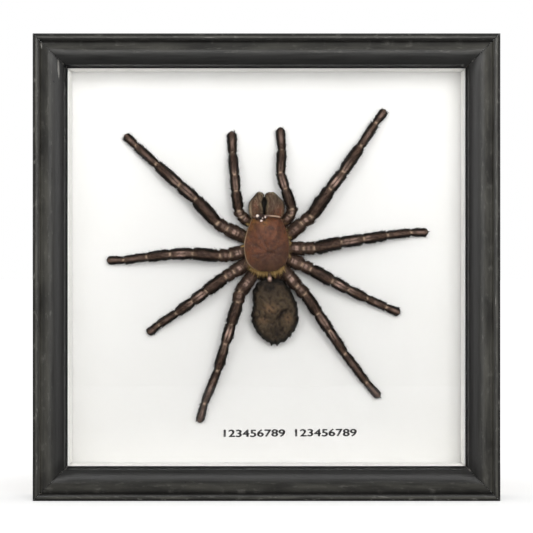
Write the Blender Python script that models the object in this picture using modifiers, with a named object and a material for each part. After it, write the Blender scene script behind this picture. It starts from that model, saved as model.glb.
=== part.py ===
"""A dried tarantula spread on a white card in a black shadow-box frame.

The box stands on its bottom edge. +X is to the right as seen from the front, +Z is up and the glass
faces -Y. The origin is the middle of the bottom edge, half way between the front and the back.
"""

import math

import bmesh
import bpy
from mathutils import Matrix, Vector

MM = 0.001
GAP = 0.3 * MM

# ---------------------------------------------------------------- driving dimensions
FRAME_SIDE = 165 * MM
RAIL_DEPTH = 31 * MM
RAIL_FACE = 12.2 * MM
REBATE_WALL = 6.5 * MM
SIGHT_EDGE_DROP = 4.5 * MM
LIP_THICKNESS = 1.5 * MM
SHOULDER_DROP = 3.9 * MM
BEAD_CENTRE = (1.6 * MM, 3.5 * MM)
BEAD_RADIUS = 1.45 * MM
BAND_CREST = 7.0 * MM
BAND_RISE_RADIUS = 4.4 * MM
BAND_FALL_RADIUS = 8.0 * MM
SIGHT_EDGE_ROUNDING = 0.4 * MM

GLASS_THICKNESS = 1.8 * MM
SPACER_DEPTH = 15 * MM
SPACER_REVEAL = 0.4 * MM
CARD_THICKNESS = 3 * MM
PANEL_THICKNESS = 2.4 * MM
SHEET_CLEARANCE = 0.6 * MM

POINT_LENGTH = 11 * MM
POINT_WIDTH = 7 * MM
POINT_SHOULDER = 0.6 * POINT_LENGTH
POINT_THICKNESS = 0.5 * MM
POINT_SPACING = 70 * MM

HANGER_LENGTH = 45 * MM
HANGER_HEIGHT = 8.4 * MM
HANGER_INSET = 1.0 * MM
HANGER_THICKNESS = 0.6 * MM
HANGER_TEETH = 11
TOOTHED_LENGTH = 0.56 * HANGER_LENGTH
TOOTH_DEPTH = 1.4 * MM
NAIL_SPACING = 38 * MM
NAIL_HEAD_RADIUS = 1.5 * MM
NAIL_HEAD_THICKNESS = 0.4 * MM
NAIL_SHANK_RADIUS = 0.6 * MM
NAIL_LENGTH = 8 * MM
NAIL_TIP = 1.0 * MM
NAIL_INSET = 3.2 * MM
NAIL_SIDES = 16

# ---------------------------------------------------------------- the stack, from the front to the back
HALF_SIDE = FRAME_SIDE / 2
OVERALL_DEPTH = RAIL_DEPTH + GAP + HANGER_THICKNESS + GAP + NAIL_HEAD_THICKNESS
FRONT_Y = -OVERALL_DEPTH / 2
GLASS_FRONT = SIGHT_EDGE_DROP + LIP_THICKNESS + GAP
SPACER_FRONT = GLASS_FRONT + GLASS_THICKNESS + GAP
CARD_FRONT = SPACER_FRONT + SPACER_DEPTH + GAP
PANEL_FRONT = CARD_FRONT + CARD_THICKNESS + GAP
POINT_FRONT = PANEL_FRONT + PANEL_THICKNESS + GAP
CARD_Y = FRONT_Y + CARD_FRONT
REBATE_HALF = HALF_SIDE - REBATE_WALL

# ---------------------------------------------------------------- the spider
# Places on the card are (across, up) in mm from the frame's bottom middle; lifts are mm off the card.
# Half sizes are (across, up, thick), and an underside is its thickness as a share of the upper side's.
BODY_LIFT = 5.6
PROSOMA_CENTRE = (0.1, 91.0)
PROSOMA_HALF = (7.5, 9.7, 4.3)
PROSOMA_UNDERSIDE = 1.2
ABDOMEN_CENTRE = (3.1, 65.7)
ABDOMEN_HALF = (8.3, 11.6, 4.9)
ABDOMEN_UNDERSIDE = 1.06
CHELICERA_HALF = (2.6, 4.1, 3.6)
CHELICERA_CENTRES = {"left": (-2.6, 105.1), "right": (3.1, 105.1)}

# Share of a limb's length in its coxa, trochanter, femur, patella, tibia, metatarsus and tarsus.
# A palp has no metatarsus.
LEG_SHARES = {
    1: (0.095, 0.070, 0.205, 0.135, 0.205, 0.180, 0.110),
    2: (0.100, 0.070, 0.190, 0.160, 0.175, 0.175, 0.130),
    3: (0.110, 0.075, 0.190, 0.145, 0.170, 0.180, 0.130),
    4: (0.108, 0.070, 0.140, 0.130, 0.182, 0.235, 0.135),
}
PALP_SHARES = (0.080, 0.060, 0.200, 0.170, 0.230, 0.0, 0.260)

# Thickest radius of each segment in mm, and how far its middle stands off the card.
SEGMENT_RADII = (2.0, 2.05, 2.15, 1.95, 1.75, 1.4, 1.25)
SEGMENT_LIFTS = (5.2, 6.2, 7.4, 7.6, 5.6, 3.3, 1.8)
HIP_LIFT = 4.8
TIP_CLEARANCE = 0.35
TIP_GIRTH = 0.55

# Girth along one segment: pinched at the joint and full in the middle.
SEGMENT_GIRTHS = ((0.0, 0.86), (0.18, 0.97), (0.5, 1.0), (0.82, 0.97))

# Each limb: where it leaves the body, its length, and the heading of each segment in degrees,
# counted from +X towards +Z.
LEGS = {
    "leg_left_1": (1, (-9.8, 94.2), 55.0, (155, 148, 132, 139, 138, 138, 135)),
    "leg_left_2": (2, (-8.9, 88.0), 48.9, (195, 183, 175, 182, 186, 188, 180)),
    "leg_left_3": (3, (-8.4, 83.0), 42.2, (213, 213, 216, 217, 216, 213, 219)),
    "leg_left_4": (4, (-6.0, 78.1), 55.1, (233, 259, 253, 253, 254, 248, 255)),
    "leg_right_1": (1, (9.1, 94.9), 55.9, (43, 35, 56, 52, 56, 57, 54)),
    "leg_right_2": (2, (9.0, 89.3), 49.7, (-1, 2, 12, 9, 9, 7, 1)),
    "leg_right_3": (3, (8.8, 85.0), 43.7, (-23, -27, -29, -28, -26, -24, -23)),
    "leg_right_4": (4, (7.5, 79.9), 55.5, (-50, -46, -56, -57, -56, -53, -49)),
}
PALPS = {
    "pedipalp_left": ((-7.3, 99.5), 33.2, (141, 109, 98, 95, 95, 95, 93)),
    "pedipalp_right": ((7.3, 99.6), 34.6, (52, 88, 110, 107, 86, 86, 94)),
}
PALP_GIRTH = 0.88


# ---------------------------------------------------------------- collections and materials
def clear_scene():
    """Remove every object that the opening scene holds."""
    for item in list(bpy.data.objects):
        bpy.data.objects.remove(item, do_unlink=True)


def new_collection(name):
    """Make a collection and link it to the scene."""
    collection = bpy.data.collections.new(name)
    bpy.context.scene.collection.children.link(collection)
    return collection


def new_material(name, color, roughness, metallic=0.0, transmission=0.0):
    """Make a Principled material of one colour."""
    material = bpy.data.materials.new(name)
    material.use_nodes = True
    shader = material.node_tree.nodes["Principled BSDF"]
    shader.inputs["Base Color"].default_value = (*color, 1.0)
    shader.inputs["Roughness"].default_value = roughness
    shader.inputs["Metallic"].default_value = metallic
    shader.inputs["Transmission Weight"].default_value = transmission
    return material


def add_mesh_object(name, mesh_data, collection, material):
    """Turn a bmesh into a named object with one material."""
    mesh = bpy.data.meshes.new(name)
    bmesh.ops.recalc_face_normals(mesh_data, faces=mesh_data.faces[:])
    mesh_data.to_mesh(mesh)
    mesh_data.free()
    item = bpy.data.objects.new(name, mesh)
    item.data.materials.append(material)
    collection.objects.link(item)
    return item


# ---------------------------------------------------------------- the frame
def arc(centre, radius, start, end, steps):
    """Points on an arc in the (across, depth) plane; angles in degrees from +across towards the front."""
    points = []
    for step in range(steps + 1):
        angle = math.radians(start + (end - start) * step / steps)
        across = centre[0] + radius * math.cos(angle)
        depth = centre[1] - radius * math.sin(angle)
        points.append((across, depth))
    return points


def rail_profile():
    """The moulding's outline: across from the outer edge, and depth behind the front crest."""
    bead = arc(BEAD_CENTRE, BEAD_RADIUS, 180, 15, 8)
    band_rise = arc((BAND_CREST, BAND_RISE_RADIUS), BAND_RISE_RADIUS, 162, 90, 6)
    band_fall = arc((BAND_CREST, BAND_FALL_RADIUS), BAND_FALL_RADIUS, 84, 58, 4)
    sight_front = (RAIL_FACE - SIGHT_EDGE_ROUNDING, SIGHT_EDGE_DROP - SIGHT_EDGE_ROUNDING)
    sight_edge = (RAIL_FACE, SIGHT_EDGE_DROP)
    lip_back = (RAIL_FACE, SIGHT_EDGE_DROP + LIP_THICKNESS)
    rebate_corner = (REBATE_WALL, SIGHT_EDGE_DROP + LIP_THICKNESS)
    back_inner = (REBATE_WALL, RAIL_DEPTH)
    back_outer = (0.0, RAIL_DEPTH)
    outer_shoulder = (0.0, SHOULDER_DROP)
    outline = [back_outer, outer_shoulder]
    outline += bead + band_rise + band_fall
    outline += [sight_front, sight_edge, lip_back, rebate_corner, back_inner]
    return outline


def make_rail(name, turn, collection, material):
    """One rail with mitred ends, modelled below the frame's centre and turned about it."""
    mesh_data = bmesh.new()
    corners = []
    for across, depth in rail_profile():
        end = HALF_SIDE - across - GAP / 2
        corners.append(mesh_data.verts.new((-end, FRONT_Y + depth, across - HALF_SIDE)))
    cap = mesh_data.faces.new(corners)
    swept = bmesh.ops.extrude_face_region(mesh_data, geom=[cap])
    for element in swept["geom"]:
        if isinstance(element, bmesh.types.BMVert):
            element.co.x = -element.co.x
    rail = add_mesh_object(name, mesh_data, collection, material)
    rail.location = (0.0, 0.0, HALF_SIDE)
    rail.rotation_euler = (0.0, turn, 0.0)
    return rail


def make_box(name, low, high, collection, material):
    """A plain rectangular piece between two corners."""
    mesh_data = bmesh.new()
    bmesh.ops.create_cube(mesh_data, size=1.0)
    size = Vector(high) - Vector(low)
    middle = (Vector(high) + Vector(low)) / 2
    bmesh.ops.transform(mesh_data, matrix=Matrix.Diagonal(size).to_4x4(), verts=mesh_data.verts)
    item = add_mesh_object(name, mesh_data, collection, material)
    item.location = middle
    return item


def sheet_corners(front, thickness):
    """Low and high corners of a sheet that fills the rebate, at a depth behind the front."""
    half = REBATE_HALF - SHEET_CLEARANCE
    low = (-half, FRONT_Y + front, HALF_SIDE - half)
    high = (half, FRONT_Y + front + thickness, HALF_SIDE + half)
    return low, high


def make_spacers(collection, material):
    """Four white strips round the inside; the upright ones stand a little further in."""
    front = FRONT_Y + SPACER_FRONT
    back = front + SPACER_DEPTH
    outer = REBATE_HALF - GAP
    inner = HALF_SIDE - RAIL_FACE
    upright = inner - SPACER_REVEAL
    spacers = {
        "spacer_bottom": ((-outer, -outer), (outer, -inner)),
        "spacer_top": ((-outer, inner), (outer, outer)),
        "spacer_left": ((-outer, -inner + GAP), (-upright, inner - GAP)),
        "spacer_right": ((upright, -inner + GAP), (outer, inner - GAP)),
    }
    for name, (low, high) in spacers.items():
        low_corner = (low[0], front, HALF_SIDE + low[1])
        high_corner = (high[0], back, HALF_SIDE + high[1])
        make_box(name, low_corner, high_corner, collection, material)


def make_plate(name, outline, front, thickness, collection, material):
    """A flat plate of an (across, up) outline, upright, its front at a given depth."""
    mesh_data = bmesh.new()
    corners = [mesh_data.verts.new((across, front, up)) for across, up in outline]
    face = mesh_data.faces.new(corners)
    swept = bmesh.ops.extrude_face_region(mesh_data, geom=[face])
    moved = [element for element in swept["geom"] if isinstance(element, bmesh.types.BMVert)]
    bmesh.ops.translate(mesh_data, vec=(0.0, thickness, 0.0), verts=moved)
    return add_mesh_object(name, mesh_data, collection, material)


def make_framer_point(name, turn, offset, collection, material):
    """A flat pointed tab that grips the bottom rail and bears on the panel, turned about the centre."""
    root = REBATE_WALL + GAP - HALF_SIDE
    half_width = POINT_WIDTH / 2
    outline = [
        (-half_width, root),
        (half_width, root),
        (half_width, root + POINT_SHOULDER),
        (0.0, root + POINT_LENGTH),
        (-half_width, root + POINT_SHOULDER),
    ]
    outline = [(across + offset, up) for across, up in outline]
    point = make_plate(name, outline, FRONT_Y + POINT_FRONT, POINT_THICKNESS, collection, material)
    point.location = (0.0, 0.0, HALF_SIDE)
    point.rotation_euler = (0.0, turn, 0.0)
    return point


def make_hanger(collection, material):
    """The sawtooth strip on the back of the top rail, its teeth pointing down."""
    top = FRAME_SIDE - HANGER_INSET
    bottom = top - HANGER_HEIGHT
    half = HANGER_LENGTH / 2
    pitch = TOOTHED_LENGTH / HANGER_TEETH
    outline = [(-half, top), (-half, bottom), (-TOOTHED_LENGTH / 2, bottom)]
    for tooth in range(HANGER_TEETH):
        left = -TOOTHED_LENGTH / 2 + tooth * pitch
        outline.append((left + pitch / 2, bottom + TOOTH_DEPTH))
        outline.append((left + pitch, bottom))
    outline += [(half, bottom), (half, top)]
    front = FRONT_Y + RAIL_DEPTH + GAP
    return make_plate("sawtooth_hanger", outline, front, HANGER_THICKNESS, collection, material)


def make_nail(name, across, collection, material):
    """A flat-headed nail, turned about its axis, its head behind the hanger."""
    profile = [
        (0.0, 0.0),
        (NAIL_HEAD_RADIUS, 0.0),
        (NAIL_HEAD_RADIUS, NAIL_HEAD_THICKNESS),
        (NAIL_SHANK_RADIUS, NAIL_HEAD_THICKNESS),
        (NAIL_SHANK_RADIUS, NAIL_LENGTH - NAIL_TIP),
        (0.0, NAIL_LENGTH),
    ]
    mesh = bpy.data.meshes.new(name)
    points = [(radius, 0.0, -depth) for radius, depth in profile]
    edges = [(index, index + 1) for index in range(len(points) - 1)]
    mesh.from_pydata(points, edges, [])
    nail = bpy.data.objects.new(name, mesh)
    nail.data.materials.append(material)
    collection.objects.link(nail)
    screw = nail.modifiers.new("turn", "SCREW")
    screw.steps = NAIL_SIDES
    screw.render_steps = NAIL_SIDES
    screw.use_merge_vertices = True
    screw.merge_threshold = 0.00001
    nail.location = (across, FRONT_Y + OVERALL_DEPTH, FRAME_SIDE - NAIL_INSET)
    nail.rotation_euler = (-math.pi / 2, 0.0, 0.0)
    return nail


def drill(item, across, cutters):
    """Cut one round nail hole, from behind, in a rail or in the hanger."""
    radius = NAIL_SHANK_RADIUS + GAP
    length = 2 * (NAIL_LENGTH + GAP)
    mesh_data = bmesh.new()
    bmesh.ops.create_cone(
        mesh_data, cap_ends=True, segments=NAIL_SIDES, radius1=radius, radius2=radius, depth=length
    )
    name = f"{item.name}_drill_{'left' if across < 0 else 'right'}"
    cutter = add_mesh_object(name, mesh_data, cutters, item.data.materials[0])
    cutter.location = (across, FRONT_Y + OVERALL_DEPTH, FRAME_SIDE - NAIL_INSET)
    cutter.rotation_euler = (math.pi / 2, 0.0, 0.0)
    cutter.hide_render = True
    cutter.display_type = "WIRE"
    cut = item.modifiers.new(name, "BOOLEAN")
    cut.operation = "DIFFERENCE"
    cut.solver = "EXACT"
    cut.object = cutter


# ---------------------------------------------------------------- the spider
def on_card(across, up, lift):
    """World place of a point given in mm across and up the card, and off it."""
    return Vector((across * MM, CARD_Y - lift * MM, up * MM))


def limb_route(start, length, headings, shares):
    """Centre line and radius along a limb: (across, up, lift, radius) in mm, thick in mid segment."""
    across, up = start
    joint_lifts = [HIP_LIFT]
    for inner, outer in zip(SEGMENT_LIFTS[:-1], SEGMENT_LIFTS[1:]):
        joint_lifts.append((inner + outer) / 2)
    joint_lifts.append(SEGMENT_RADII[-1] + TIP_CLEARANCE)
    route = []
    last = max(index for index, share in enumerate(shares) if share > 0.0)
    for index, share in enumerate(shares):
        if share == 0.0:
            continue
        heading = math.radians(headings[index])
        reach = share * length
        radius = SEGMENT_RADII[index]
        first_lift, last_lift = joint_lifts[index], joint_lifts[index + 1]
        for along, girth in SEGMENT_GIRTHS:
            lift = first_lift + (last_lift - first_lift) * along
            x = across + reach * along * math.cos(heading)
            z = up + reach * along * math.sin(heading)
            route.append((x, z, lift, radius * girth))
        across += reach * math.cos(heading)
        up += reach * math.sin(heading)
        if index == last:
            route.append((across, up, last_lift, radius * TIP_GIRTH))
    return route


def make_limb(name, route, girth, collection, material):
    """A limb as a tube along its route, swelling in each segment."""
    curve = bpy.data.curves.new(name, "CURVE")
    curve.dimensions = "3D"
    curve.bevel_depth = MM
    curve.bevel_resolution = 2
    curve.use_fill_caps = True
    spline = curve.splines.new("POLY")
    spline.points.add(len(route) - 1)
    for point, (across, up, lift, radius) in zip(spline.points, route):
        point.co = (*on_card(across, up, lift), 1.0)
        point.radius = radius * girth
    curve.materials.append(material)
    limb = bpy.data.objects.new(name, curve)
    collection.objects.link(limb)
    return limb


def make_rounded(name, centre, half_sizes, lift, segments, shape, collection, material):
    """A sphere stretched to three half sizes (across, up, thick) and shaped by a function of its unit form."""
    mesh_data = bmesh.new()
    bmesh.ops.create_uvsphere(mesh_data, u_segments=segments, v_segments=segments // 2 + 2, radius=1.0)
    for vertex in mesh_data.verts:
        across, thick, up = shape(vertex.co)
        vertex.co = (across * half_sizes[0] * MM, thick * half_sizes[2] * MM, up * half_sizes[1] * MM)
    item = add_mesh_object(name, mesh_data, collection, material)
    item.location = on_card(*centre, lift)
    return item


def prosoma_shape(unit):
    """Narrower towards the jaws and at the waist, with the sternum down on the card."""
    narrowing = 1.0 - 0.20 * max(unit.z, 0.0) ** 1.5 - 0.10 * max(-unit.z, 0.0) ** 2
    squareness = 1.0 + 0.10 * (1.0 - unit.z ** 2)
    thickness = unit.y * (1.0 if unit.y < 0.0 else PROSOMA_UNDERSIDE)
    return unit.x * narrowing * squareness, thickness, unit.z


def abdomen_shape(unit):
    """Broadest below its middle, with its top end narrowed towards the waist."""
    narrowing = 1.0 - 0.22 * max(unit.z, 0.0) ** 2
    thickness = unit.y * (1.0 if unit.y < 0.0 else ABDOMEN_UNDERSIDE)
    return unit.x * narrowing, thickness, unit.z


def chelicera_shape(unit):
    """A jaw that is blunt in front."""
    return unit.x * (1.0 + 0.08 * unit.z), unit.y, unit.z


def make_spider(collection, materials):
    """The whole specimen: body, jaws, palps and legs."""
    shell, hide = materials["carapace"], materials["limb"]
    make_rounded("prosoma", PROSOMA_CENTRE, PROSOMA_HALF, BODY_LIFT, 24, prosoma_shape, collection, shell)
    make_rounded(
        "abdomen", ABDOMEN_CENTRE, ABDOMEN_HALF, BODY_LIFT, 24, abdomen_shape, collection, materials["abdomen"]
    )
    for side, centre in CHELICERA_CENTRES.items():
        name = f"chelicera_{side}"
        make_rounded(name, centre, CHELICERA_HALF, BODY_LIFT, 16, chelicera_shape, collection, hide)
    for name, (pair, start, length, headings) in LEGS.items():
        route = limb_route(start, length, headings, LEG_SHARES[pair])
        make_limb(name, route, 1.0, collection, hide)
    for name, (start, length, headings) in PALPS.items():
        route = limb_route(start, length, headings, PALP_SHARES)
        make_limb(name, route, PALP_GIRTH, collection, hide)


# ---------------------------------------------------------------- the whole object
def make_materials():
    """One material for each kind of stuff."""
    return {
        "paint": new_material("black_paint", (0.03, 0.03, 0.028), 0.45),
        "glass": new_material("glass", (1.0, 1.0, 1.0), 0.02, transmission=1.0),
        "spacer": new_material("white_spacer", (0.88, 0.87, 0.84), 0.8),
        "card": new_material("white_card", (0.90, 0.89, 0.86), 0.85),
        "hardboard": new_material("hardboard", (0.23, 0.14, 0.08), 0.75),
        "steel": new_material("steel", (0.55, 0.55, 0.53), 0.4, metallic=1.0),
        "carapace": new_material("carapace", (0.16, 0.07, 0.04), 0.5),
        "abdomen": new_material("abdomen", (0.07, 0.05, 0.035), 0.8),
        "limb": new_material("limb", (0.06, 0.04, 0.03), 0.7),
    }


def make_frame(collection, cutters, materials):
    """Rails, glass, spacers, card, panel and the hardware on the back."""
    rails = {}
    sides = ("bottom", "left", "top", "right")
    for index, side in enumerate(sides):
        turn = index * math.pi / 2
        rails[side] = make_rail(f"frame_rail_{side}", turn, collection, materials["paint"])
        for number, offset in enumerate((-POINT_SPACING / 2, POINT_SPACING / 2), start=1):
            name = f"framer_point_{side}_{number}"
            make_framer_point(name, turn, offset, collection, materials["steel"])
    low, high = sheet_corners(GLASS_FRONT, GLASS_THICKNESS)
    make_box("glass_pane", low, high, collection, materials["glass"])
    make_spacers(collection, materials["spacer"])
    low, high = sheet_corners(CARD_FRONT, CARD_THICKNESS)
    make_box("mounting_card", low, high, collection, materials["card"])
    low, high = sheet_corners(PANEL_FRONT, PANEL_THICKNESS)
    make_box("back_panel", low, high, collection, materials["hardboard"])
    hanger = make_hanger(collection, materials["steel"])
    for side, across in (("left", -NAIL_SPACING / 2), ("right", NAIL_SPACING / 2)):
        make_nail(f"hanger_nail_{side}", across, collection, materials["steel"])
        drill(hanger, across, cutters)
        drill(rails["top"], across, cutters)


def main():
    """Build the framed specimen."""
    clear_scene()
    parts = new_collection("framed_tarantula")
    cutters = new_collection("cutters")
    materials = make_materials()
    make_frame(parts, cutters, materials)
    make_spider(parts, materials)


main()
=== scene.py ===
import math

import bmesh
import bpy
import numpy as np
from bpy.props import FloatProperty, FloatVectorProperty, IntProperty, PointerProperty, StringProperty
from mathutils import Matrix, Vector, noise


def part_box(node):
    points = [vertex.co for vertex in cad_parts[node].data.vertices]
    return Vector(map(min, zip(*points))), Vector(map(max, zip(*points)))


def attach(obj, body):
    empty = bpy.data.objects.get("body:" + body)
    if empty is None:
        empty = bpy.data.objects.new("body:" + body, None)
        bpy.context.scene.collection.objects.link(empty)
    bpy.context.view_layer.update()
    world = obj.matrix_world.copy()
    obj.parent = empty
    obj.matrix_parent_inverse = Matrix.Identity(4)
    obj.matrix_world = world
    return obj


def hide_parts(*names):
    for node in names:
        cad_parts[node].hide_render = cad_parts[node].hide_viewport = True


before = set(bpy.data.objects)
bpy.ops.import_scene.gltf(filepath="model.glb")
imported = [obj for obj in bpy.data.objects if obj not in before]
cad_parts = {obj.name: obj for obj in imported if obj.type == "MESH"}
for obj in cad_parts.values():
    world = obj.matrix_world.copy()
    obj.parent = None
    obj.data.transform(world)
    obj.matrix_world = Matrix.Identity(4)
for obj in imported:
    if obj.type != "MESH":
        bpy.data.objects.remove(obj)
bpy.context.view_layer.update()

bl_info = {
    "name": "Framed tarantula",
    "version": (1, 0, 0),
    "blender": (4, 5, 0),
    "location": "3D View > Sidebar > Tarantula",
    "description": "Builds the finished surfaces of a dried tarantula in a black shadow-box frame",
    "category": "Object",
}

MM = 0.001
BODY = "root"

# ---------------------------------------------------------------- places taken from the frame
CARD_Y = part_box("mounting_card")[0].y
FRONT_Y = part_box("frame_rail_bottom")[0].y
RAIL_BACK_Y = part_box("frame_rail_bottom")[1].y
FRAME_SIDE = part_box("frame_rail_left")[1].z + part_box("frame_rail_left")[0].z
HALF_SIDE = FRAME_SIDE / 2
RAIL_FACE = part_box("frame_rail_bottom")[1].z
SHEET_CLEARANCE = 0.6 * MM
REBATE_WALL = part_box("glass_pane")[0].x + HALF_SIDE - SHEET_CLEARANCE

# ---------------------------------------------------------------- the plan of the limbs
# Each segment's share of its limb's length, by pair. A palp has no metatarsus.
LIMB_SEGMENTS = ("coxa", "trochanter", "femur", "patella", "tibia", "metatarsus", "tarsus")
HIP_SEGMENTS = LIMB_SEGMENTS[:2]
LEG_SHARES = {
    1: (0.095, 0.070, 0.205, 0.135, 0.205, 0.180, 0.110),
    2: (0.100, 0.070, 0.190, 0.160, 0.175, 0.175, 0.130),
    3: (0.110, 0.075, 0.190, 0.145, 0.170, 0.180, 0.130),
    4: (0.108, 0.070, 0.140, 0.130, 0.182, 0.235, 0.135),
}
PALP_SHARES = (0.080, 0.060, 0.200, 0.170, 0.230, 0.0, 0.260)

# Each limb: its pair, where it leaves the body in mm across and up the card, its length in mm, and
# the heading of each segment in degrees from +X towards +Z.
LIMBS = {
    "leg_left_1": (1, (-9.8, 94.2), 55.0, (155, 148, 132, 139, 138, 138, 135)),
    "leg_left_2": (2, (-8.9, 88.0), 48.9, (195, 183, 175, 182, 186, 188, 180)),
    "leg_left_3": (3, (-8.4, 83.0), 42.2, (213, 213, 216, 217, 216, 213, 219)),
    "leg_left_4": (4, (-6.0, 78.1), 55.1, (233, 259, 253, 253, 254, 248, 255)),
    "leg_right_1": (1, (9.1, 94.9), 55.9, (43, 35, 56, 52, 56, 57, 54)),
    "leg_right_2": (2, (9.0, 89.3), 49.7, (-1, 2, 12, 9, 9, 7, 1)),
    "leg_right_3": (3, (8.8, 85.0), 43.7, (-23, -27, -29, -28, -26, -24, -23)),
    "leg_right_4": (4, (7.5, 79.9), 55.5, (-50, -46, -56, -57, -56, -53, -49)),
    "pedipalp_left": (0, (-7.3, 99.5), 33.2, (141, 109, 98, 95, 95, 95, 93)),
    "pedipalp_right": (0, (7.3, 99.6), 34.6, (52, 88, 110, 107, 86, 86, 94)),
}

# The radius of each segment in mm, by pair, with 0 for the palps.
SEGMENT_RADII = {
    0: (1.9, 1.85, 1.8, 1.65, 1.6, 1.6, 1.5),
    1: (2.35, 2.2, 2.2, 1.95, 1.88, 1.5, 1.4),
    2: (2.35, 2.2, 2.15, 1.9, 1.75, 1.45, 1.35),
    3: (2.3, 2.2, 2.15, 1.85, 1.7, 1.4, 1.4),
    4: (2.3, 2.1, 2.0, 1.85, 1.62, 1.4, 1.35),
}
# How high each segment lies off the card in mm, and how much it arches besides.
SEGMENT_LIFTS = (5.2, 6.2, 7.4, 7.6, 5.6, 3.3, 1.8)
SEGMENT_ARCH = (0.0, 0.2, 0.9, 0.5, 0.4, 0.2, 0.0)
HIP_LIFT = 4.3
TIP_LIFT = 1.65


# ---------------------------------------------------------------- settings
class FrameSettings(bpy.types.PropertyGroup):
    """What a user would change on the box."""

    paint: FloatVectorProperty(
        name="Paint", description="Colour of the rails' paint", subtype="COLOR", size=3,
        default=(0.0050, 0.0048, 0.0045), min=0.0, max=1.0,
    )
    card: FloatVectorProperty(
        name="Card", description="Colour of the mounting card", subtype="COLOR", size=3,
        default=(0.92, 0.917, 0.905), min=0.0, max=1.0,
    )
    grain_depth: FloatProperty(
        name="Grain depth", description="Depth of the wood grain under the paint",
        default=0.05 * MM, min=0.0, unit="LENGTH",
    )
    joint_bevel: FloatProperty(
        name="Joint bevel", description="Width of the groove where two rails meet",
        default=0.08 * MM, min=0.0, unit="LENGTH",
    )


class CaptionSettings(bpy.types.PropertyGroup):
    """The row of typed digits."""

    digits: StringProperty(
        name="Digits", description="Plain digits typed under the specimen", default="123456789 123456789",
    )
    pitch: FloatProperty(
        name="Pitch", description="Width of one typed place", default=2.575 * MM, unit="LENGTH",
    )
    height: FloatProperty(
        name="Height", description="Height of a digit", default=2.65 * MM, unit="LENGTH",
    )


class SpiderSettings(bpy.types.PropertyGroup):
    """What a user would change on the specimen."""

    shell: FloatVectorProperty(
        name="Carapace", description="Main colour of the carapace", subtype="COLOR", size=3,
        default=(0.105, 0.036, 0.0175), min=0.0, max=1.0,
    )
    limb: FloatVectorProperty(
        name="Limb", description="Main colour of the limbs", subtype="COLOR", size=3,
        default=(0.028, 0.0155, 0.0105), min=0.0, max=1.0,
    )
    hide: FloatVectorProperty(
        name="Abdomen", description="Main colour of the abdomen", subtype="COLOR", size=3,
        default=(0.056, 0.040, 0.025), min=0.0, max=1.0,
    )
    limb_hairs: IntProperty(
        name="Hairs on a leg", description="Short hairs on one leg", default=15000, min=0,
    )
    abdomen_hairs: IntProperty(
        name="Hairs on the abdomen", description="Hairs on the abdomen", default=26000, min=0,
    )
    hair_width: FloatProperty(
        name="Hair width", description="Width of a hair at its root", default=0.05 * MM, unit="LENGTH",
    )


class StageSettings(bpy.types.PropertyGroup):
    """Camera and lights."""

    distance: FloatProperty(
        name="Camera distance", description="From the front of the frame", default=0.93, unit="LENGTH",
    )
    lens: FloatProperty(name="Lens", description="Focal length", default=178.8, unit="CAMERA")
    floor: FloatVectorProperty(
        name="Floor", description="Colour of the floor", subtype="COLOR", size=3,
        default=(0.86, 0.86, 0.85), min=0.0, max=1.0,
    )
    front_power: FloatProperty(
        name="Front light", description="Power of the front light", default=4.6, unit="POWER",
    )
    top_power: FloatProperty(
        name="Top light", description="Power of the top light", default=2.95, unit="POWER",
    )
    side_power: FloatProperty(
        name="Side lights", description="Power of a side light", default=2.4, unit="POWER",
    )


SETTINGS = (FrameSettings, CaptionSettings, SpiderSettings, StageSettings)


def settings_name(kind):
    """The short name of one kind of settings."""
    return kind.__name__.removesuffix("Settings").lower()


def settings(name):
    """The scene's settings of one kind."""
    return getattr(bpy.context.scene, f"tarantula_{name}")


# ---------------------------------------------------------------- node building
GROUPS = {}
MATERIALS = {}


def new_group(name, inputs, outputs):
    """A shader node group with named sockets, returned with its input and output nodes."""
    group = bpy.data.node_groups.new(name, "ShaderNodeTree")
    for label, kind, value in inputs:
        socket = group.interface.new_socket(label, in_out="INPUT", socket_type=kind)
        if value is not None:
            socket.default_value = value
    for label, kind in outputs:
        group.interface.new_socket(label, in_out="OUTPUT", socket_type=kind)
    return group, group.nodes.new("NodeGroupInput"), group.nodes.new("NodeGroupOutput")


def node(tree, kind, **properties):
    """Add a node and set its properties."""
    made = tree.nodes.new(kind)
    for key, value in properties.items():
        setattr(made, key, value)
    return made


def feed(tree, made, **sockets):
    """Set or link a node's inputs: n0 is the first, and a name has underscores for its spaces."""
    for key, value in sockets.items():
        numbered = key[0] == "n" and key[1:].isdigit()
        socket = made.inputs[int(key[1:]) if numbered else key.replace("_", " ")]
        if isinstance(value, bpy.types.NodeSocket):
            tree.links.new(value, socket)
        else:
            socket.default_value = value
    return made


def math_node(tree, operation, first, second=0.0):
    """A Math node's output."""
    return feed(tree, node(tree, "ShaderNodeMath", operation=operation), n0=first, n1=second).outputs[0]


def times(tree, first, second):
    """The product of two values."""
    return math_node(tree, "MULTIPLY", first, second)


def plus(tree, first, second):
    """The sum of two values."""
    return math_node(tree, "ADD", first, second)


def larger(tree, first, second):
    """The larger of two values."""
    return math_node(tree, "MAXIMUM", first, second)


def mix_value(tree, factor, first, second):
    """A number Mix node's output."""
    made = node(tree, "ShaderNodeMix", data_type="FLOAT")
    return feed(tree, made, n0=factor, n2=first, n3=second).outputs[0]


def opaque(color):
    """A colour as a socket takes it: a link stays as it is, and three numbers get a fourth."""
    return color if isinstance(color, bpy.types.NodeSocket) else (*color, 1.0)


def mix_color(tree, factor, first, second):
    """A colour Mix node's output."""
    made = node(tree, "ShaderNodeMix", data_type="RGBA")
    return feed(tree, made, n0=factor, n6=opaque(first), n7=opaque(second)).outputs[2]


def laid_over(tree, color, layers):
    """A colour with others over it, each where the mesh layer of its name says."""
    for name, over in layers.items():
        color = mix_color(tree, attribute(tree, name), color, over)
    return color


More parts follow.
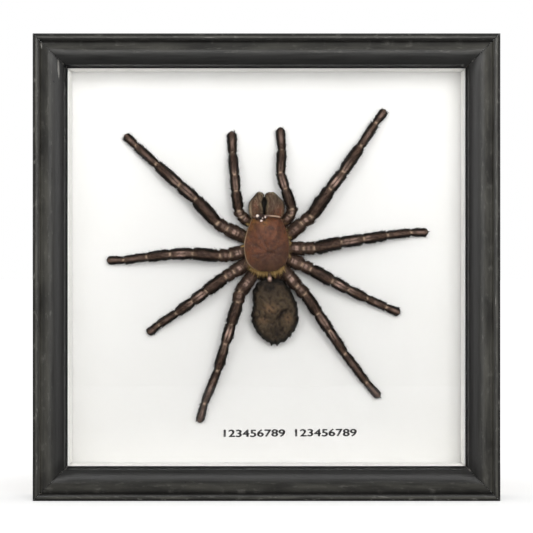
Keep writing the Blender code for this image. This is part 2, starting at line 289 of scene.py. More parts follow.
def remap(tree, value, low, high, to_low=0.0, to_high=1.0, smooth=False):
    """A clamped Map Range node's output."""
    kind = "SMOOTHSTEP" if smooth else "LINEAR"
    made = node(tree, "ShaderNodeMapRange", interpolation_type=kind, clamp=True)
    feed(tree, made, n0=value, n1=low, n2=high, n3=to_low, n4=to_high)
    return made.outputs[0]


def noise_node(tree, coordinates, scale, detail=4.0, roughness=0.55, distortion=0.0):
    """A 3D noise's Factor output."""
    made = node(tree, "ShaderNodeTexNoise", noise_dimensions="3D")
    feed(tree, made, Vector=coordinates, Scale=scale, Detail=detail)
    feed(tree, made, Roughness=roughness, Distortion=distortion)
    return made.outputs["Fac"]


def scaled(tree, coordinates, scale):
    """Coordinates stretched by a Mapping node."""
    return feed(tree, node(tree, "ShaderNodeMapping"), Vector=coordinates, Scale=scale).outputs[0]


def separate(tree, vector):
    """A vector's three numbers."""
    return feed(tree, node(tree, "ShaderNodeSeparateXYZ"), n0=vector).outputs


def attribute(tree, name):
    """A mesh layer's number."""
    return node(tree, "ShaderNodeAttribute", attribute_name=name).outputs["Fac"]


def bump(tree, height, distance, strength):
    """A Bump node's normal."""
    made = node(tree, "ShaderNodeBump")
    return feed(tree, made, Height=height, Distance=distance, Strength=strength).outputs[0]


def new_material(name):
    """A material with its tree and its Principled shader."""
    material = bpy.data.materials.new(name)
    material.use_nodes = True
    tree = material.node_tree
    return material, tree, tree.nodes["Principled BSDF"]


def use_group(tree, name, **values):
    """Place a shared effect in a tree with its own values."""
    return feed(tree, node(tree, "ShaderNodeGroup", node_tree=GROUPS[name]), **values)


def object_coordinates(tree):
    """The object coordinates of the surface, in metres."""
    return node(tree, "ShaderNodeTexCoord").outputs["Object"]


# ---------------------------------------------------------------- shared effects
def make_mottle_group():
    """Soft blotches and fine specks, for paper, hide and paint."""
    group, given, out = new_group(
        "mottle",
        [("Vector", "NodeSocketVector", None), ("Blotch Scale", "NodeSocketFloat", 60.0),
         ("Speck Scale", "NodeSocketFloat", 900.0), ("Speck Share", "NodeSocketFloat", 0.35)],
        [("Value", "NodeSocketFloat")],
    )
    vector = given.outputs["Vector"]
    blotch = noise_node(group, vector, given.outputs["Blotch Scale"], 3.0)
    speck = noise_node(group, vector, given.outputs["Speck Scale"], 5.0, 0.65)
    both = mix_value(group, given.outputs["Speck Share"], blotch, speck)
    group.links.new(remap(group, both, 0.3, 0.7), out.inputs["Value"])
    return group


def make_grain_group():
    """Long streaks along the first coordinate, for wood, pressed board and rolled metal."""
    group, given, out = new_group(
        "grain",
        [("Vector", "NodeSocketVector", None), ("Stretch", "NodeSocketFloat", 40.0),
         ("Scale", "NodeSocketFloat", 1500.0)],
        [("Value", "NodeSocketFloat"), ("Pores", "NodeSocketFloat")],
    )
    divided = math_node(group, "DIVIDE", given.outputs["Scale"], given.outputs["Stretch"])
    combine = node(group, "ShaderNodeCombineXYZ")
    feed(group, combine, n0=divided, n1=given.outputs["Scale"], n2=given.outputs["Scale"])
    stretched = node(group, "ShaderNodeVectorMath", operation="MULTIPLY")
    feed(group, stretched, n0=given.outputs["Vector"], n1=combine.outputs[0])
    streak = noise_node(group, stretched.outputs[0], 1.0, 4.0, 0.6, 0.3)
    pores = noise_node(group, stretched.outputs[0], 2.3, 2.0, 0.5, 0.0)
    group.links.new(remap(group, streak, 0.3, 0.7), out.inputs["Value"])
    group.links.new(remap(group, pores, 0.62, 0.74), out.inputs["Pores"])
    return group


def make_dust_group():
    """Pale specks and lint, as a mask."""
    group, given, out = new_group(
        "dust",
        [("Vector", "NodeSocketVector", None), ("Scale", "NodeSocketFloat", 700.0),
         ("Amount", "NodeSocketFloat", 0.3)],
        [("Mask", "NodeSocketFloat")],
    )
    fine = noise_node(group, given.outputs["Vector"], given.outputs["Scale"], 6.0, 0.7)
    patch_scale = times(group, given.outputs["Scale"], 0.09)
    patches = noise_node(group, given.outputs["Vector"], patch_scale, 2.0)
    where = times(group, remap(group, fine, 0.56, 0.72), remap(group, patches, 0.4, 0.65))
    group.links.new(times(group, where, given.outputs["Amount"]), out.inputs["Mask"])
    return group


def make_nick_group():
    """One small rubbed mark: a soft ellipse at a place, turned and stretched."""
    group, given, out = new_group(
        "nick",
        [("Vector", "NodeSocketVector", None), ("Place", "NodeSocketVector", None),
         ("Turn", "NodeSocketFloat", 0.0), ("Length", "NodeSocketFloat", 0.002),
         ("Width", "NodeSocketFloat", 0.0005)],
        [("Mask", "NodeSocketFloat")],
    )
    away = node(group, "ShaderNodeVectorMath", operation="SUBTRACT")
    feed(group, away, n0=given.outputs["Vector"], n1=given.outputs["Place"])
    turned = node(group, "ShaderNodeVectorRotate", rotation_type="Y_AXIS")
    feed(group, turned, Vector=away.outputs[0], Angle=given.outputs["Turn"])
    split = separate(group, turned.outputs[0])
    along = math_node(group, "DIVIDE", split[0], given.outputs["Length"])
    across = math_node(group, "DIVIDE", split[2], given.outputs["Width"])
    squares = plus(group, times(group, along, along), times(group, across, across))
    ragged = noise_node(group, given.outputs["Vector"], 2500.0, 3.0)
    edge = plus(group, squares, remap(group, ragged, 0.2, 0.8, -0.5, 0.5))
    group.links.new(remap(group, edge, 0.1, 1.0, 1.0, 0.0), out.inputs["Mask"])
    return group


def make_groups():
    """Build every shared effect once."""
    GROUPS["mottle"] = make_mottle_group()
    GROUPS["grain"] = make_grain_group()
    GROUPS["dust"] = make_dust_group()
    GROUPS["nick"] = make_nick_group()


# ---------------------------------------------------------------- materials of the box
WHITE = (1.0, 1.0, 1.0, 1.0)

# Marks on the face of the rails: place in mm from the frame's middle, turn in degrees, half length and half
# width in mm, and how pale the mark is; below zero it is a dark dent. The first is a painted highlight, a
# gloss streak on the left rail's slope near the top corner.
RAIL_MARKS = (
    # Painted highlight: a gloss streak, not a rub.
    ((-73.1, 69.9), 88.0, 3.9, 0.40, 0.34),
    ((-79.3, 78.0), 80.0, 1.3, 0.34, 0.6),
    ((-74.7, 65.2), 60.0, 0.6, 0.40, -1.0),
    ((-71.4, 72.0), 45.0, 0.9, 0.30, -1.0),
    ((71.2, -71.2), 45.0, 1.3, 0.26, 1.0),
    ((-70.6, -70.9), 135.0, 0.8, 0.22, 0.5),
    ((70.8, 70.9), 135.0, 0.7, 0.20, 0.4),
    ((41.0, -80.9), 4.0, 2.4, 0.22, 0.25),
    ((80.7, -12.0), 92.0, 2.0, 0.20, 0.25),
    ((-20.0, 80.9), 0.0, 2.6, 0.20, 0.25),
)


def make_paint_material():
    """Satin black paint with the wood's grain showing through it, rubbed at edges, with painted highlights
    and painted shade, and bare wood behind.
    """
    material, tree, shader = new_material("black_paint")
    coordinates = object_coordinates(tree)
    rail_map = node(tree, "ShaderNodeUVMap", uv_map="rail").outputs[0]
    grain = use_group(tree, "grain", Vector=rail_map, Stretch=30.0, Scale=1700.0).outputs
    mottle = use_group(tree, "mottle", Vector=coordinates, Blotch_Scale=45.0, Speck_Scale=1500.0).outputs[0]
    chips, joint_line = joint_chips(tree, coordinates)
    rub_and_painted_highlight, dent = paint_damage_and_highlight(tree, coordinates, rail_map, chips, joint_line)
    color = paint_color(tree, rail_map, grain["Value"], mottle)
    # Rubbed paint and the painted highlight streak are mixed in pale.
    color = mix_color(tree, times(tree, rub_and_painted_highlight, 0.8), color, (0.50, 0.48, 0.44))
    color = mix_color(tree, dent, color, (0.003, 0.003, 0.003))
    dust = use_group(tree, "dust", Vector=coordinates, Scale=900.0, Amount=0.03)
    color = mix_color(tree, dust.outputs[0], color, (0.35, 0.34, 0.32))
    wood, bare = bare_wood(tree, coordinates, rail_map)
    color = mix_color(tree, bare, color, wood)
    satin = plus(tree, remap(tree, mottle, 0.0, 1.0, 0.25, 0.35), times(tree, grain["Value"], 0.08))
    rough = larger(tree, larger(tree, attribute(tree, "dull_painted_shade_edge"), joint_line), bare)
    height = plus(tree, times(tree, grain["Value"], 0.7), times(tree, grain["Pores"], -0.8))
    height = math_node(tree, "SUBTRACT", height, rub_and_painted_highlight)
    feed(
        tree, shader, Base_Color=color, Roughness=larger(tree, satin, times(tree, rough, 0.8)),
        Normal=bump(tree, height, settings("frame").grain_depth, 0.45), Specular_IOR_Level=0.36,
    )
    return material


def paint_color(tree, rail_map, grain, mottle):
    """The paint's colour: its grain and blotches, painted highlights on the grooves, the bead and the broad
    curves, and painted shade on the matte inner edge.
    """
    paint = tuple(settings("frame").paint)
    lighter = tuple(channel * 2.4 + 0.002 for channel in paint)
    color = mix_color(tree, grain, paint, lighter)
    color = mix_color(tree, times(tree, mottle, 0.35), color, lighter)
    along = noise_node(tree, scaled(tree, rail_map, (1.0, 8.0, 8.0)), 55.0, 3.0, 0.6)
    uneven = times(tree, remap(tree, grain, 0.0, 1.0, 0.65, 1.0), remap(tree, along, 0.35, 0.65, 0.5, 1.9))
    # Painted highlight: the paint is lightened where the mesh layer says, unevenly along the rail.
    painted_sheen_mask = times(tree, attribute(tree, "painted_sheen_and_haze"), uneven)
    color = mix_color(tree, painted_sheen_mask, color, (0.056, 0.054, 0.046))
    # Painted shade along the sight edge.
    return laid_over(tree, color, {"dull_painted_shade_edge": (0.002, 0.002, 0.002)})


def paint_damage_and_highlight(tree, coordinates, rail_map, chips, joint_line):
    """Masks of where the paint is rubbed pale, with one painted highlight streak among them, and where it is
    dented dark.
    """
    along = noise_node(tree, scaled(tree, rail_map, (0.2, 1.0, 1.0)), 1400.0, 5.0, 0.7)
    rub_and_painted_highlight = larger(tree, times(tree, attribute(tree, "wear"), remap(tree, along, 0.56, 0.74)), chips)
    dent = times(tree, joint_line, 0.9)
    flat = scaled(tree, coordinates, (1.0, 0.0, 1.0))
    for (across, up), turn, length, width, pale in RAIL_MARKS:
        mark = use_group(
            tree, "nick", Vector=flat, Place=(across * MM, 0.0, HALF_SIDE + up * MM),
            Turn=math.radians(-turn), Length=length * MM, Width=width * MM,
        )
        amount = times(tree, mark.outputs[0], abs(pale))
        if pale > 0.0:
            rub_and_painted_highlight = larger(tree, rub_and_painted_highlight, amount)
        else:
            dent = larger(tree, dent, amount)
    return rub_and_painted_highlight, dent


def joint_chips(tree, coordinates):
    """Pale chips along the four mitres by the inner corners, and the dark line of each joint."""
    split = separate(tree, coordinates)
    across = math_node(tree, "ABSOLUTE", split[0])
    up = math_node(tree, "ABSOLUTE", math_node(tree, "SUBTRACT", split[2], HALF_SIDE))
    apart = math_node(tree, "ABSOLUTE", math_node(tree, "SUBTRACT", across, up))
    near = remap(tree, apart, 0.12 * MM, 0.42 * MM, 1.0, 0.0)
    line = remap(tree, apart, 0.14 * MM, 0.30 * MM, 1.0, 0.0)
    inner = remap(tree, across, HALF_SIDE - 11.0 * MM, HALF_SIDE - 9.0 * MM, 1.0, 0.0)
    front = remap(tree, split[1], FRONT_Y + 5.0 * MM, FRONT_Y + 6.0 * MM, 1.0, 0.0)
    ragged = remap(tree, noise_node(tree, coordinates, 900.0, 4.0, 0.7), 0.52, 0.66)
    mask = times(tree, times(tree, near, inner), ragged)
    return times(tree, mask, front), line


def bare_wood(tree, coordinates, rail_map):
    """Pale wood where the mesh says that no paint reached, with its mask."""
    grain = use_group(tree, "grain", Vector=rail_map, Stretch=30.0, Scale=900.0)
    wood = mix_color(tree, grain.outputs["Value"], (0.42, 0.28, 0.15), (0.60, 0.44, 0.27))
    wood = mix_color(tree, grain.outputs["Pores"], wood, (0.20, 0.11, 0.05))
    spray = remap(tree, noise_node(tree, coordinates, 420.0, 6.0, 0.7), 0.58, 0.72)
    return wood, times(tree, attribute(tree, "bare"), math_node(tree, "SUBTRACT", 1.0, spray))


def make_glass_material():
    """Clear picture glass."""
    material, tree, shader = new_material("glass")
    coordinates = object_coordinates(tree)
    dust = use_group(tree, "dust", Vector=coordinates, Scale=400.0, Amount=0.04)
    feed(tree, shader, Base_Color=WHITE, Roughness=dust.outputs[0], Transmission_Weight=1.0, IOR=1.46)
    return material


def make_board_material(name, color, warm, speck_scale, depth, painted_lower_shade=0.0):
    """Matte paper board with faint blotches and fibres; painted shade makes it darker and yellower lower
    down, by the amount given.
    """
    material, tree, shader = new_material(name)
    coordinates = object_coordinates(tree)
    mottle = use_group(tree, "mottle", Vector=coordinates, Blotch_Scale=38.0, Speck_Scale=speck_scale)
    fibres = noise_node(tree, scaled(tree, coordinates, (1.0, 1.0, 0.35)), 3200.0, 3.0, 0.6, 1.2)
    tone = mix_color(tree, mottle.outputs[0], color, warm)
    tone = mix_color(tree, remap(tree, fibres, 0.60, 0.72, 0.0, 0.10), tone, (0.72, 0.70, 0.66))
    # Painted shade: the board darkens towards its foot.
    painted_lower_shade_mask = remap(tree, separate(tree, coordinates)[2], 0.0, FRAME_SIDE, painted_lower_shade, 0.0)
    tone = mix_color(tree, painted_lower_shade_mask, tone, (0.50, 0.495, 0.475))
    height = plus(tree, times(tree, mottle.outputs[0], 0.6), fibres)
    feed(
        tree, shader, Base_Color=tone, Roughness=remap(tree, fibres, 0.3, 0.7, 0.75, 0.92),
        Normal=bump(tree, height, depth, 0.5), Specular_IOR_Level=0.25,
    )
    return material


def make_hardboard_material():
    """Brown pressed board, its fibres lying every way."""
    material, tree, shader = new_material("hardboard")
    coordinates = object_coordinates(tree)
    mottle = use_group(tree, "mottle", Vector=coordinates, Blotch_Scale=70.0, Speck_Scale=1100.0,
                       Speck_Share=0.6)
    fibres = noise_node(tree, scaled(tree, coordinates, (1.0, 1.0, 0.25)), 1700.0, 4.0, 0.7, 2.5)
    tone = mix_color(tree, mottle.outputs[0], (0.155, 0.085, 0.042), (0.27, 0.165, 0.09))
    tone = mix_color(tree, remap(tree, fibres, 0.55, 0.7), tone, (0.38, 0.26, 0.15))
    dust = use_group(tree, "dust", Vector=coordinates, Scale=500.0, Amount=0.25)
    tone = mix_color(tree, dust.outputs[0], tone, (0.5, 0.46, 0.40))
    feed(
        tree, shader, Base_Color=tone, Roughness=remap(tree, mottle.outputs[0], 0.0, 1.0, 0.55, 0.8),
        Normal=bump(tree, fibres, 0.06 * MM, 0.7),
    )
    return material


def make_steel_material():
    """Zinc-plated steel, not polished, with rolling lines and a few stains."""
    material, tree, shader = new_material("steel")
    coordinates = object_coordinates(tree)
    lines = use_group(tree, "grain", Vector=coordinates, Stretch=25.0, Scale=4000.0)
    mottle = use_group(tree, "mottle", Vector=coordinates, Blotch_Scale=260.0, Speck_Scale=2200.0)
    tone = mix_color(tree, mottle.outputs[0], (0.27, 0.27, 0.27), (0.50, 0.49, 0.47))
    stain = remap(tree, noise_node(tree, coordinates, 420.0, 5.0, 0.7), 0.60, 0.72, 0.0, 0.5)
    tone = mix_color(tree, stain, tone, (0.25, 0.17, 0.11))
    rough = remap(tree, mottle.outputs[0], 0.0, 1.0, 0.30, 0.5)
    feed(
        tree, shader, Base_Color=tone, Roughness=rough, Metallic=1.0,
        Normal=bump(tree, lines.outputs[0], 0.01 * MM, 0.5),
    )
    return material


def make_ink_material():
    """Typed ink: grey-black, thin in places."""
    material, tree, shader = new_material("ink")
    coordinates = object_coordinates(tree)
    thin = remap(tree, noise_node(tree, coordinates, 3500.0, 4.0, 0.7), 0.42, 0.66)
    tone = mix_color(tree, thin, (0.028, 0.026, 0.028), (0.16, 0.15, 0.15))
    feed(tree, shader, Base_Color=tone, Roughness=remap(tree, thin, 0.0, 1.0, 0.6, 0.85))
    return material


# ---------------------------------------------------------------- materials of the spider
def make_carapace_material():
    """Reddish-brown shell, greyer behind and orange at the sides, with a pale rim."""
    material, tree, shader = new_material("carapace")
    coordinates = object_coordinates(tree)
    mottle = use_group(tree, "mottle", Vector=coordinates, Blotch_Scale=420.0, Speck_Scale=2600.0,
                       Speck_Share=0.4)
    shell = tuple(settings("spider").shell)
    pink = (shell[0] * 1.35, shell[1] * 1.45, shell[2] * 1.5)
    tone = mix_color(tree, remap(tree, mottle.outputs[0], 0.3, 0.8), shell, pink)
    orange = remap(tree, noise_node(tree, coordinates, 150.0, 2.0), 0.46, 0.62)
    orange = times(tree, orange, attribute(tree, "flank"))
    tone = mix_color(tree, orange, tone, (0.20, 0.090, 0.026))
    tone = laid_over(tree, tone, {"rear": (0.060, 0.032, 0.022)})
    blot = remap(tree, noise_node(tree, coordinates, 620.0, 5.0, 0.7, 0.8), 0.46, 0.60, 0.0, 0.85)
    tone = mix_color(tree, blot, tone, (0.046, 0.024, 0.017))
    # groove lays painted shade in the furrows, the pit and the jaws' sides, and the eye mound's own black.
    tone = laid_over(tree, tone, {"groove": (0.045, 0.022, 0.016), "rim": (0.42, 0.31, 0.20)})
    dust = use_group(tree, "dust", Vector=coordinates, Scale=2600.0, Amount=0.35)
    tone = mix_color(tree, dust.outputs[0], tone, (0.36, 0.26, 0.18))
    fine = noise_node(tree, coordinates, 3800.0, 5.0, 0.7)
    feed(
        tree, shader, Base_Color=tone, Roughness=remap(tree, fine, 0.3, 0.7, 0.36, 0.58),
        Normal=bump(tree, fine, 0.05 * MM, 0.7), Specular_IOR_Level=0.22,
    )
    return material


def make_limb_material():
    """Dark brown segments with painted shade that turns the flanks near black, painted glints and pale marks
    in pink where the hair is thin, and pale joints.
    """
    material, tree, shader = new_material("limb")
    coordinates = object_coordinates(tree)
    mottle = use_group(tree, "mottle", Vector=coordinates, Blotch_Scale=500.0, Speck_Scale=3000.0,
                       Speck_Share=0.5)
    limb = tuple(settings("spider").limb)
    warm = (limb[0] * 3.0, limb[1] * 3.1, limb[2] * 3.2)
    tone = laid_over(tree, limb, {"shade": warm})
    tone = mix_color(tree, times(tree, mottle.outputs[0], 0.5), tone, warm)
    # Painted shade turns the flanks near black; painted glints and pale marks, and the pale joints, lie over
    # it.
    tone = laid_over(
        tree, tone,
        {"flank": (0.004, 0.003, 0.002), "pale_and_painted_glint": (0.64, 0.435, 0.355), "joint": (0.52, 0.37, 0.26)},
    )
    fine = noise_node(tree, coordinates, 4200.0, 4.0, 0.7)
    feed(
        tree, shader, Base_Color=tone, Roughness=remap(tree, fine, 0.3, 0.7, 0.40, 0.62),
        Normal=bump(tree, fine, 0.05 * MM, 0.6), Specular_IOR_Level=0.2,
    )
    return material


def make_hide_material():
    """Wrinkled dark olive hide with rusty patches."""
    material, tree, shader = new_material("abdomen")
    coordinates = object_coordinates(tree)
    mottle = use_group(tree, "mottle", Vector=coordinates, Blotch_Scale=300.0, Speck_Scale=2400.0,
                       Speck_Share=0.45)
    hide = tuple(settings("spider").hide)
    tone = mix_color(tree, mottle.outputs[0], tuple(0.5 * c for c in hide), tuple(1.6 * c for c in hide))
    # Painted shade on the rim, in the crease and the hollows, with the hide's dark patches, from the mesh
    # layers.
    tone = laid_over(
        tree, tone,
        {"flank": (0.005, 0.004, 0.003), "patch": (0.13, 0.075, 0.040), "groove": (0.014, 0.011, 0.010)},
    )
    wrinkle = noise_node(tree, coordinates, 1300.0, 5.0, 0.65, 0.6)
    feed(
        tree, shader, Base_Color=tone, Roughness=remap(tree, wrinkle, 0.3, 0.7, 0.5, 0.75),
        Normal=bump(tree, wrinkle, 0.14 * MM, 0.8), Specular_IOR_Level=0.2,
    )
    return material


HAIR_COLORS = {
    "dark_hair": ((0.003, 0.002, 0.002), (0.155, 0.100, 0.070)),
    "belly_hair": ((0.003, 0.003, 0.002), (0.140, 0.095, 0.056)),
    "jaw_hair": ((0.006, 0.005, 0.004), (0.50, 0.400, 0.255)),
    "gold_hair": ((0.11, 0.058, 0.022), (0.62, 0.42, 0.17)),
}


def make_hair_material(name, dark, light):
    """Hair between two colours, each hair with its own share of them."""
    material, tree, shader = new_material(name)
    tint = attribute(tree, "tint")
    feed(
        tree, shader, Base_Color=mix_color(tree, tint, dark, light), Specular_IOR_Level=0.05,
        Roughness=remap(tree, tint, 0.0, 1.0, 0.6, 0.7),
    )
    return material


def make_eye_material(name, color, roughness):
    """A lens, dark or pale, with paler misty patches; the pale lens stands partly for the eyes' glints, a
    painted highlight.
    """
    material, tree, shader = new_material(name)
    coordinates = object_coordinates(tree)
    painted_sheen_and_haze = noise_node(tree, coordinates, 5000.0, 3.0)
    paler = tuple(min(1.0, channel * 1.3 + 0.01) for channel in color)
    feed(
        tree, shader, Base_Color=mix_color(tree, painted_sheen_and_haze, color, paler),
        Roughness=remap(tree, painted_sheen_and_haze, 0.3, 0.7, roughness, roughness + 0.1),
    )
    return material


def make_materials():
    """Build every material once, under its slot's name or its own."""
    MATERIALS["black_paint"] = make_paint_material()
    MATERIALS["glass"] = make_glass_material()
    MATERIALS["white_card"] = make_board_material(
        "white_card", tuple(settings("frame").card), (0.88, 0.875, 0.855), 1300.0, 0.03 * MM, painted_lower_shade=0.68,
    )
    MATERIALS["white_spacer"] = make_board_material(
        "white_spacer", (0.95, 0.94, 0.915), (0.92, 0.91, 0.88), 900.0, 0.04 * MM,
    )
    MATERIALS["hardboard"] = make_hardboard_material()
    MATERIALS["steel"] = make_steel_material()
    MATERIALS["ink"] = make_ink_material()
    MATERIALS["carapace"] = make_carapace_material()
    MATERIALS["limb"] = make_limb_material()
    MATERIALS["abdomen"] = make_hide_material()
    for name, (dark, light) in HAIR_COLORS.items():
        MATERIALS[name] = make_hair_material(name, dark, light)
    MATERIALS["dark_eye"] = make_eye_material("dark_eye", (0.01, 0.009, 0.009), 0.06)
    MATERIALS["pale_painted_glint_eye"] = make_eye_material("pale_painted_glint_eye", (0.72, 0.62, 0.56), 0.15)


# ---------------------------------------------------------------- mesh helpers
# The numbers that a surface carries for its material and its hair; a piece that says nothing has these.
LIMB_LAYERS = ("flank", "joint", "pale_and_painted_glint", "hair", "shade")
CARAPACE_LAYERS = ("rim", "groove", "rear", "flank", "hair", "shade")
HIDE_LAYERS = ("patch", "groove", "flank", "hair", "shade")
LAYER_DEFAULTS = {"shade": 0.5}


def add_piece(name, mesh, material):
    """Put a mesh in the scene as a smooth piece that rides on the body and takes a slot."""
    mesh.shade_smooth()
    mesh.materials.append(MATERIALS[material])
    piece = bpy.data.objects.new(name, mesh)
    bpy.context.scene.collection.objects.link(piece)
    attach(piece, BODY)
    return piece


def finish_piece(name, mesh_data, material, replaced=(), sharp=None):
    """Turn a bmesh into a piece that may stand for CAD nodes and keep edges sharper than an angle."""
    mesh = bpy.data.meshes.new(name)
    mesh_data.to_mesh(mesh)
    mesh_data.free()
    piece = add_piece(name, mesh, material)
    if sharp is not None:
        mesh.set_sharp_from_angle(angle=math.radians(sharp))
    if replaced:
        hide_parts(*replaced)
    return piece


MERGE_DISTANCE = 0.0005 * MM


def merge_doubles(mesh_data):
    """Join the vertices that lie on one another."""
    bmesh.ops.remove_doubles(mesh_data, verts=mesh_data.verts, dist=MERGE_DISTANCE)


def rolled_surface(rings, sides, place, layers=()):
    """Bend a grid to place(share along, angle around), join its seam and close its open ends.

    place returns a point in metres and a number for each named vertex layer that isn't at its default.
    """
    mesh_data = bmesh.new()
    store = {name: mesh_data.verts.layers.float.new(name) for name in layers}
    made = bmesh.ops.create_grid(mesh_data, x_segments=rings, y_segments=sides, size=1.0)
    for vertex in made["verts"]:
        along = (vertex.co.x + 1.0) / 2.0
        angle = 2.0 * math.pi * ((vertex.co.y + 1.0) / 2.0)
        vertex.co, numbers = place(along, angle)
        for name in layers:
            vertex[store[name]] = numbers.get(name, LAYER_DEFAULTS.get(name, 0.0))
    merge_doubles(mesh_data)
    rim = [edge for edge in mesh_data.edges if edge.is_boundary]
    if rim:
        bmesh.ops.holes_fill(mesh_data, edges=rim, sides=0)
    bmesh.ops.recalc_face_normals(mesh_data, faces=mesh_data.faces)
    return mesh_data


CAD_MERGE_DISTANCE = 0.001 * MM
COPLANAR = math.radians(1.0)
SHARP = math.radians(35.0)
AXIS_ALIGNED = 0.9999


def refined_copy(name, cad_name, slot, bevel):
    """A CAD piece's form with its doubles merged, its flat faces joined and its edges eased."""
    mesh_data = bmesh.new()
    mesh_data.from_mesh(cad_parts[cad_name].data)
    bmesh.ops.remove_doubles(mesh_data, verts=mesh_data.verts, dist=CAD_MERGE_DISTANCE)
    bmesh.ops.dissolve_limit(mesh_data, angle_limit=COPLANAR, verts=mesh_data.verts, edges=mesh_data.edges)
    sharp = [edge for edge in mesh_data.edges if edge.is_manifold and edge.calc_face_angle() > SHARP]
    bevel_edges(mesh_data, sharp, bevel)
    merge_doubles(mesh_data)
    bmesh.ops.recalc_face_normals(mesh_data, faces=mesh_data.faces)
    piece = finish_piece(name, mesh_data, slot, (cad_name,), sharp=40)
    for polygon in piece.data.polygons:
        polygon.use_smooth = max(abs(share) for share in polygon.normal) < AXIS_ALIGNED
    return piece


def bevel_edges(mesh_data, edges, offset):
    """Ease edges with a round bevel of two steps."""
    bmesh.ops.bevel(
        mesh_data, geom=edges, offset=offset, offset_type="OFFSET", affect="EDGES", segments=2, profile=0.5,
        material=-1, clamp_overlap=True,
    )


def on_card(across, up, lift):
    """World place of a point given in mm across and up the card, and off it."""
    return Vector((across * MM, CARD_Y - lift * MM, up * MM))


def beside(centre, across, up, lift):
    """World place of a point given in mm from a centre on the card, and off the card."""
    return on_card(centre[0] + across, centre[1] + up, lift)


def clamped(value):
    """A value kept from 0 to 1."""
    return min(1.0, max(0.0, value))


def smooth_step(value, low, high):
    """0 below low, 1 above high and smooth between."""
    share = clamped((value - low) / (high - low))
    return share * share * (3.0 - 2.0 * share)


def ridge(value, centre, width):
    """A bell of height 1 at a centre."""
    return math.exp(-(((value - centre) / width) ** 2))


def rounded(value, power):
    """A signed power, which squares a round form's shoulders when it is below 1."""
    return math.copysign(abs(value) ** power, value)


def degrees_off(angle):
    """How many degrees an angle is from straight ahead, to either side."""
    return math.degrees(math.atan2(abs(math.sin(angle)), math.cos(angle)))


def lumpiness(*place):
    """A smooth random number between about -1 and 1 at a place."""
    return noise.noise(Vector(place))


def smooth_table(rows, value):
    """Read a smooth curve through (value, result) rows that rise in value; flat beyond both ends."""
    if value <= rows[0][0]:
        return rows[0][1]
    for index in range(len(rows) - 1):
        low, high = rows[index], rows[index + 1]
        if value > high[0]:
            continue
        before = rows[max(0, index - 1)]
        after = rows[min(len(rows) - 1, index + 2)]
        span = high[0] - low[0]
        share = (value - low[0]) / span
        leaving = (high[1] - before[1]) / (high[0] - before[0]) * span
        arriving = (after[1] - low[1]) / (after[0] - low[0]) * span
        square, cube = share ** 2, share ** 3
        return (low[1] * (2 * cube - 3 * square + 1) + high[1] * (3 * square - 2 * cube)
                + leaving * (cube - 2 * square + share) + arriving * (cube - square))
    return rows[-1][1]


# ---------------------------------------------------------------- hair
def read_layer(mesh, name, fallback):
    """A vertex number layer as an array, or a constant."""
    if name not in mesh.attributes:
        return np.full(len(mesh.vertices), fallback)
    values = np.zeros(len(mesh.vertices), np.float32)
    mesh.attributes[name].data.foreach_get("value", values)
    return values.astype(float)


def vertex_vectors(mesh, name):
    """A vertex property's vectors as rows."""
    values = np.zeros(len(mesh.vertices) * 3, np.float32)
    mesh.vertices.foreach_get(name, values)
    return values.reshape(-1, 3).astype(float)


def hair_roots(piece, count, rng):
    """Random places on a piece, dense where its hair layer says.

    It returns each place's triangle and shares of its corners, and the place's point and normal.
    """
    mesh = piece.data
    mesh.calc_loop_triangles()
    triangles = np.zeros(len(mesh.loop_triangles) * 3, np.int32)
    mesh.loop_triangles.foreach_get("vertices", triangles)
    triangles = triangles.reshape(-1, 3)
    points = vertex_vectors(mesh, "co")
    one, two, three = (points[triangles[:, side]] for side in range(3))
    area = np.linalg.norm(np.cross(two - one, three - one), axis=1) / 2
    weight = area * read_layer(mesh, "hair", 1.0)[triangles].mean(axis=1)
    chosen = rng.choice(len(triangles), size=count, p=weight / weight.sum())
    shares = rng.random((count, 2))
    over = shares.sum(axis=1) > 1.0
    shares[over] = 1.0 - shares[over]
    shares = np.column_stack([1.0 - shares.sum(axis=1), shares])
    corners = triangles[chosen]
    normal = unit_rows(blended(vertex_vectors(mesh, "normal"), corners, shares))
    return corners, shares, blended(points, corners, shares), normal


def blended(values, corners, shares):
    """Vertex values at places inside triangles."""
    picked = values[corners]
    if picked.ndim == 2:
        return (picked * shares).sum(axis=1)
    return (picked * shares[:, :, None]).sum(axis=1)


def unit_rows(rows):
    """Each row scaled to length 1."""
    return rows / np.maximum(np.linalg.norm(rows, axis=1, keepdims=True), 1e-12)


SPIKE_FACES = ((0, 2, 1), (0, 1, 3), (1, 2, 3), (2, 0, 3))
BENT_SPIKE_FACES = (
    (0, 2, 1),
    (0, 1, 4), (0, 4, 3), (3, 4, 6),
    (1, 2, 5), (1, 5, 4), (4, 5, 6),
    (2, 0, 3), (2, 3, 5), (5, 3, 6),
)
ROOT_DEPTH = 0.05 * MM
HAIR_SCATTER = 0.16
BEND_SHARE = 0.55
# Painted shade: how much the hair on a piece's flanks is darkened.
FLANK_PAINTED_SHADE = 0.92


def spokes(along, scatter):
    """Three unit spokes square to each spike, which carry its three corners."""
    side = unit_rows(np.cross(along, scatter))
    other = np.cross(along, side)
    turns = [2.0 * math.pi * corner / 3 for corner in range(3)]
    return [math.cos(turn) * side + math.sin(turn) * other for turn in turns]


